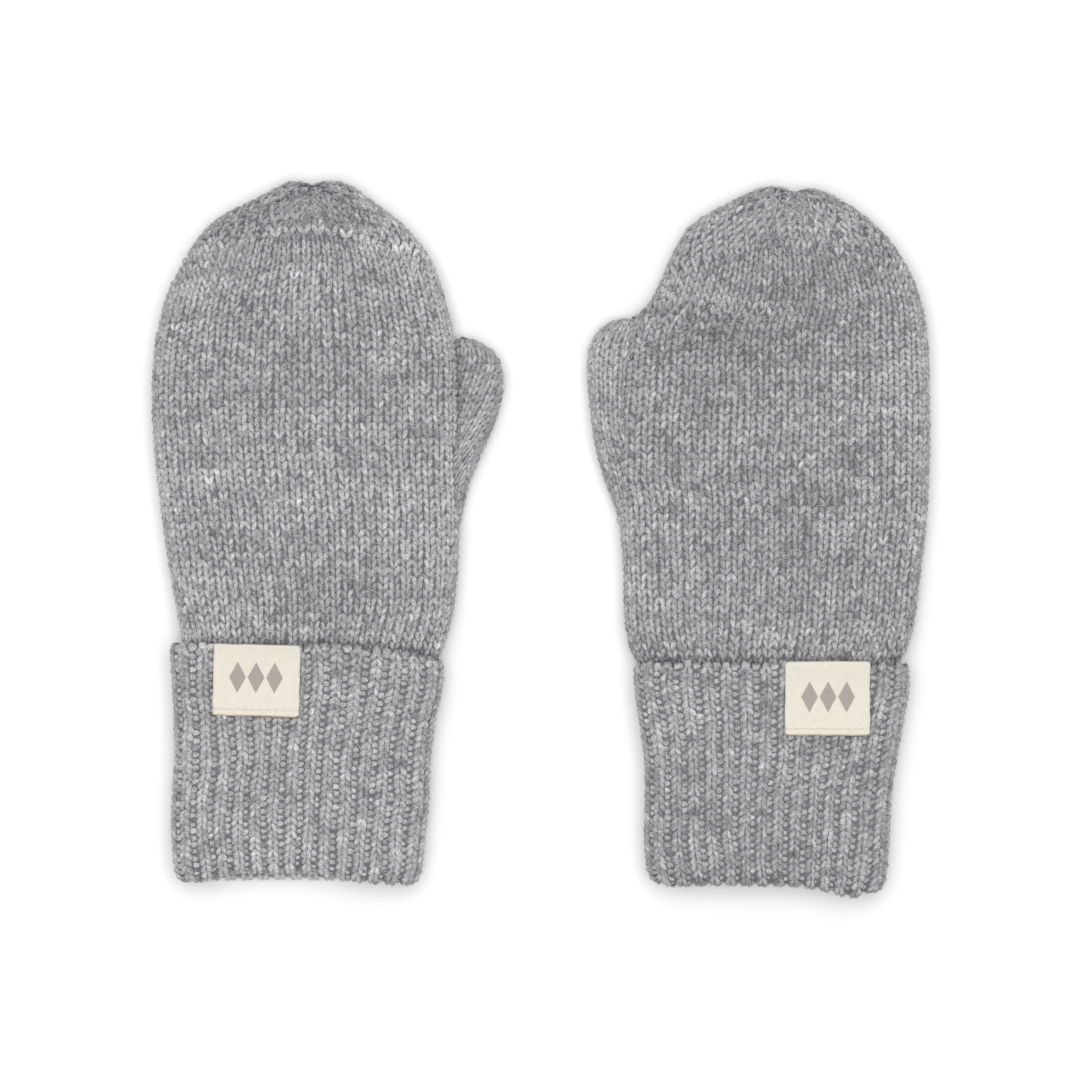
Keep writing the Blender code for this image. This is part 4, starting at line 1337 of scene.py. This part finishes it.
def cotton_tape(looks):
    """Plain woven cotton tape, cream, matt: 0.5 mm warp and weft that show as a fine grid, a tan cut
    end, and a plain printed row of diamonds in taupe ink where the real label has its print."""
    made = bpy.data.materials.get("Woven cotton tape")
    if made:
        return made
    made, tree, shader = finish_of("Woven cotton tape", 0.85, 0.1, 0.25)
    sheet = node(tree, "ShaderNodeUVMap", settings=[("uv_map", "Tape")])
    apart = node(tree, "ShaderNodeSeparateXYZ", links=[("Vector", sheet, "UV")])

    def math_node(operation, *values):
        made_node = node(tree, "ShaderNodeMath", settings=[("operation", operation)])
        for k, value in enumerate(values):
            if isinstance(value, tuple):
                tree.links.new(value[0].outputs[value[1]], made_node.inputs[k])
            else:
                made_node.inputs[k].default_value = value
        return (made_node, 0)

    along = (apart, "Y")
    across = math_node("SUBTRACT", (apart, "X"), PRINT_MIDDLE)
    # painted shade in the needle holes between the sewn stitches
    first_hole = SEWING_START + looks.dash / MM + looks.gap / MM / 2
    half_step = (looks.dash + looks.gap) / MM / 2
    hole_x = math_node("WRAP", math_node("SUBTRACT", (apart, "X"), first_hole), half_step, -half_step)
    from_seam = math_node("ABSOLUTE", math_node("SUBTRACT", along, SEWING_UP))
    hole = math_node(
        "LESS_THAN", math_node("ADD", math_node("ABSOLUTE", hole_x), from_seam), 0.3
    )
    step = math_node("WRAP", across, DIAMOND_HALF_PITCH, -DIAMOND_HALF_PITCH)
    inside = math_node("LESS_THAN", math_node("ABSOLUTE", across), PRINT_HALF_WIDTH)
    from_print = math_node("ABSOLUTE", math_node("SUBTRACT", along, PRINT_UP))
    shape = math_node(
        "ADD", math_node("DIVIDE", math_node("ABSOLUTE", step), DIAMOND_HALF_WIDTH),
        math_node("DIVIDE", from_print, DIAMOND_HALF_HEIGHT),
    )
    printed = math_node("MULTIPLY", inside, math_node("LESS_THAN", shape, 1.0))
    warp = math_node("SINE", math_node("MULTIPLY", across, 2 * math.pi / WEAVE_PITCH))
    weft = math_node("SINE", math_node("MULTIPLY", along, 2 * math.pi / WEAVE_PITCH))
    weave = math_node("MULTIPLY", warp, weft)
    places = node(tree, "ShaderNodeTexCoord")
    cloud = node(
        tree, "ShaderNodeTexNoise", [("Scale", 700.0), ("Detail", 3.0)],
        links=[("Vector", places, "Object")],
    )
    shade = math_node("ADD", math_node("MULTIPLY", weave, 0.03), math_node("MULTIPLY", (cloud, "Fac"), 0.16))
    # painted shade: the needle holes and a shallow furrow along the sewing line are darkened
    furrow = math_node("LESS_THAN", from_seam, 0.45)
    sewn = math_node("ADD", math_node("MULTIPLY", hole, 0.13), math_node("MULTIPLY", furrow, 0.05))
    level = math_node("SUBTRACT", math_node("ADD", shade, 0.885), sewn)
    ink = node(
        tree, "ShaderNodeMix", [("A", (*looks.tape, 1)), ("B", (*looks.ink, 1))], [("data_type", "RGBA")],
        [("Factor", *printed)],
    )
    cut_end = math_node("LESS_THAN", along, 0.35)
    ended = node(
        tree, "ShaderNodeMix", [("B", (*looks.cut_end, 1))], [("data_type", "RGBA")],
        [("A", ink, "Result"), ("Factor", *cut_end)],
    )
    colour = node(
        tree, "ShaderNodeVectorMath", settings=[("operation", "SCALE")],
        links=[("Vector", ended, "Result"), ("Scale", *level)],
    )
    tree.links.new(colour.outputs["Vector"], shader.inputs["Base Color"])
    relief = node(
        tree, "ShaderNodeBump", [("Strength", 0.5), ("Distance", 0.00015)], links=[("Height", *weave)]
    )
    tree.links.new(relief.outputs["Normal"], shader.inputs["Normal"])
    return made


def sewing_thread(looks):
    """Spun cotton sewing thread, cream, a little lighter than the tape."""
    made = bpy.data.materials.get("Cotton sewing thread")
    if made:
        return made
    made, tree, shader = finish_of("Cotton sewing thread", 0.8, 0.1, 0.25)
    places = node(tree, "ShaderNodeTexCoord")
    twist = node(
        tree, "ShaderNodeTexNoise", [("Scale", 3000.0), ("Detail", 1.0)],
        links=[("Vector", places, "Object")],
    )
    dark = tuple(0.82 * c for c in looks.thread)
    mix = node(
        tree, "ShaderNodeMix", [("A", (*dark, 1)), ("B", (*looks.thread, 1))],
        [("data_type", "RGBA")], [("Factor", twist, "Fac")],
    )
    tree.links.new(mix.outputs["Result"], shader.inputs["Base Color"])
    return made


class MITTENS_OT_labels(bpy.types.Operator):
    """Makes the two folded tape labels and sews them on"""

    bl_idname = "mittens.labels"
    bl_label = "Labels"

    def execute(self, context):
        looks = context.scene.tape_looks
        for mitten in (LEFT, RIGHT):
            columns = 44
            points, lengths = label_cloth(mitten, columns, 0.5)
            rows = len(points)
            first = (np.arange(rows - 1)[:, None] * columns + np.arange(columns - 1)[None]).ravel()
            faces = np.stack([first, first + 1, first + columns + 1, first + columns], -1)
            half = (mitten.label.right - mitten.label.left) / 2
            real = np.stack(np.meshgrid(np.linspace(0, 2 * half, columns), lengths), -1).reshape(-1, 2)
            tape = mesh_object(mitten.name + "_label_tape", points.reshape(-1, 3), faces)
            layer = tape.data.uv_layers.new(name="Tape")
            layer.data.foreach_set("uv", real[faces.ravel()].astype(np.float32).ravel())
            wall = tape.modifiers.new("Tape", "SOLIDIFY")
            wall.thickness, wall.offset = 0.6 * MM, -1
            tape.data.materials.append(cotton_tape(looks))
            thread = self.sewing(mitten, points, lengths, looks)
            declare(tape, [thread], mitten.name + "_label")
        return {"FINISHED"}

    def sewing(self, mitten, points, lengths, looks):
        """Stitches near the lower edge: short capsules, each a rounded strand sunk at both ends."""
        row = int(np.searchsorted(lengths, SEWING_UP))
        seam = points[row]
        length = np.concatenate([[0], np.cumsum(np.linalg.norm(np.diff(seam, axis=0), axis=1))])
        dash, gap = looks.dash / MM, looks.gap / MM
        starts = np.arange(SEWING_START, length[-1] - dash - 0.5, dash + gap)
        rng = np.random.default_rng(mitten.seed + 121)
        s = np.linspace(0, 1, 7)
        turn = np.linspace(0, 2 * math.pi, 8, endpoint=False)
        place = starts[:, None] + s[None] * dash
        centre = np.stack([np.interp(place, length, seam[:, k]) for k in range(3)], -1)
        shift, slope = (rng.normal(0, size, len(starts))[:, None] for size in (0.06, 0.08))
        centre[..., 1] += shift + slope * s
        centre[..., 2] += 0.26 * np.sin(math.pi * s)[None]
        radius = 0.26 * np.sqrt(np.clip(1 - (2 * s - 1) ** 4, 0.02, 1))
        ring = np.stack([np.zeros(8), np.cos(turn), np.sin(turn)], -1)
        flat = (centre[:, :, None] + radius[None, :, None, None] * ring[None, None]).reshape(-1, 3)
        first = (np.arange(6)[:, None] * 8 + np.arange(8)[None]).ravel()
        beside = (np.arange(6)[:, None] * 8 + (np.arange(8)[None] + 1) % 8).ravel()
        faces = np.stack([first, first + 8, beside + 8, beside], -1)
        faces = (faces[None] + (np.arange(len(starts)) * 56)[:, None, None]).reshape(-1, 4)
        thread = mesh_object(mitten.name + "_label_sewing", flat, faces)
        thread.data.materials.append(sewing_thread(looks))
        return thread


class MITTENS_OT_stage(bpy.types.Operator):
    """Sets the pale table, the soft light and the camera straight above"""

    bl_idname = "mittens.stage"
    bl_label = "Table, light and camera"

    def execute(self, context):
        looks = context.scene.stage_looks
        scene = context.scene
        corners = np.array([[-1, -1], [1, -1], [1, 1], [-1, 1]]) * 1500.0
        points = np.column_stack([corners, np.full(4, -0.05)])
        table = mesh_object("table", points, np.array([[0, 1, 2, 3]]), smooth=False)
        made, tree, shader = finish_of("Matt white table top", 0.9, 0.0, 0.1)
        shader.inputs["Base Color"].default_value = (*looks.table, 1)
        shader.inputs["Emission Color"].default_value = (1, 1, 1, 1)
        shader.inputs["Emission Strength"].default_value = looks.glow
        table.data.materials.append(made)
        world = bpy.data.worlds.new("Soft room")
        world.use_nodes = True
        world.node_tree.nodes["Background"].inputs["Color"].default_value = (1, 1, 1, 1)
        world.node_tree.nodes["Background"].inputs["Strength"].default_value = looks.fill
        scene.world = world
        lamp = bpy.data.lights.new("Softbox", "AREA")
        lamp.size, lamp.energy = 1.0, looks.key
        holder = bpy.data.objects.new("Softbox", lamp)
        scene.collection.objects.link(holder)
        holder.location = (-0.02, 0.06, 1.2)
        holder.rotation_mode = "QUATERNION"
        holder.rotation_quaternion = holder.location.to_track_quat("Z", "Y")
        lens = bpy.data.cameras.new("Camera")
        lens.sensor_width, lens.lens = SENSOR, LENS
        holder = bpy.data.objects.new("Camera", lens)
        scene.collection.objects.link(holder)
        holder.location = (-0.00025, 0.0, CLOTH_HEIGHT + PICTURE_WIDTH * LENS / SENSOR)
        scene.camera = holder
        scene.view_settings.view_transform = "Standard"
        return {"FINISHED"}


class MITTENS_PT_panel(bpy.types.Panel):
    """Sizes, colours and the steps that build the pair"""

    bl_idname = "MITTENS_PT_panel"
    bl_label = "Mittens"
    bl_space_type = "VIEW_3D"
    bl_region_type = "UI"
    bl_category = "Mittens"

    def draw(self, context):
        for name, group in GROUPS.items():
            held = getattr(context.scene, name)
            for key in group.__annotations__:
                self.layout.prop(held, key)
        for step in STEPS:
            self.layout.operator(step.bl_idname)


GROUPS = {
    "knit_sizes": KnitSizes,
    "wool_colours": WoolColours,
    "tape_looks": TapeLooks,
    "stage_looks": StageLooks,
}
STEPS = (MITTENS_OT_hands, MITTENS_OT_thumbs, MITTENS_OT_cuffs, MITTENS_OT_labels, MITTENS_OT_stage)


def register():
    for made in (*GROUPS.values(), *STEPS, MITTENS_PT_panel):
        bpy.utils.register_class(made)
    for name, group in GROUPS.items():
        setattr(bpy.types.Scene, name, bpy.props.PointerProperty(type=group))


def unregister():
    for name in GROUPS:
        delattr(bpy.types.Scene, name)
    for made in (MITTENS_PT_panel, *reversed(STEPS), *GROUPS.values()):
        bpy.utils.unregister_class(made)


def main():
    register()
    bpy.ops.mittens.hands()
    bpy.ops.mittens.thumbs()
    bpy.ops.mittens.cuffs()
    bpy.ops.mittens.labels()
    bpy.ops.mittens.stage()


if __name__ == "__main__":
    main()
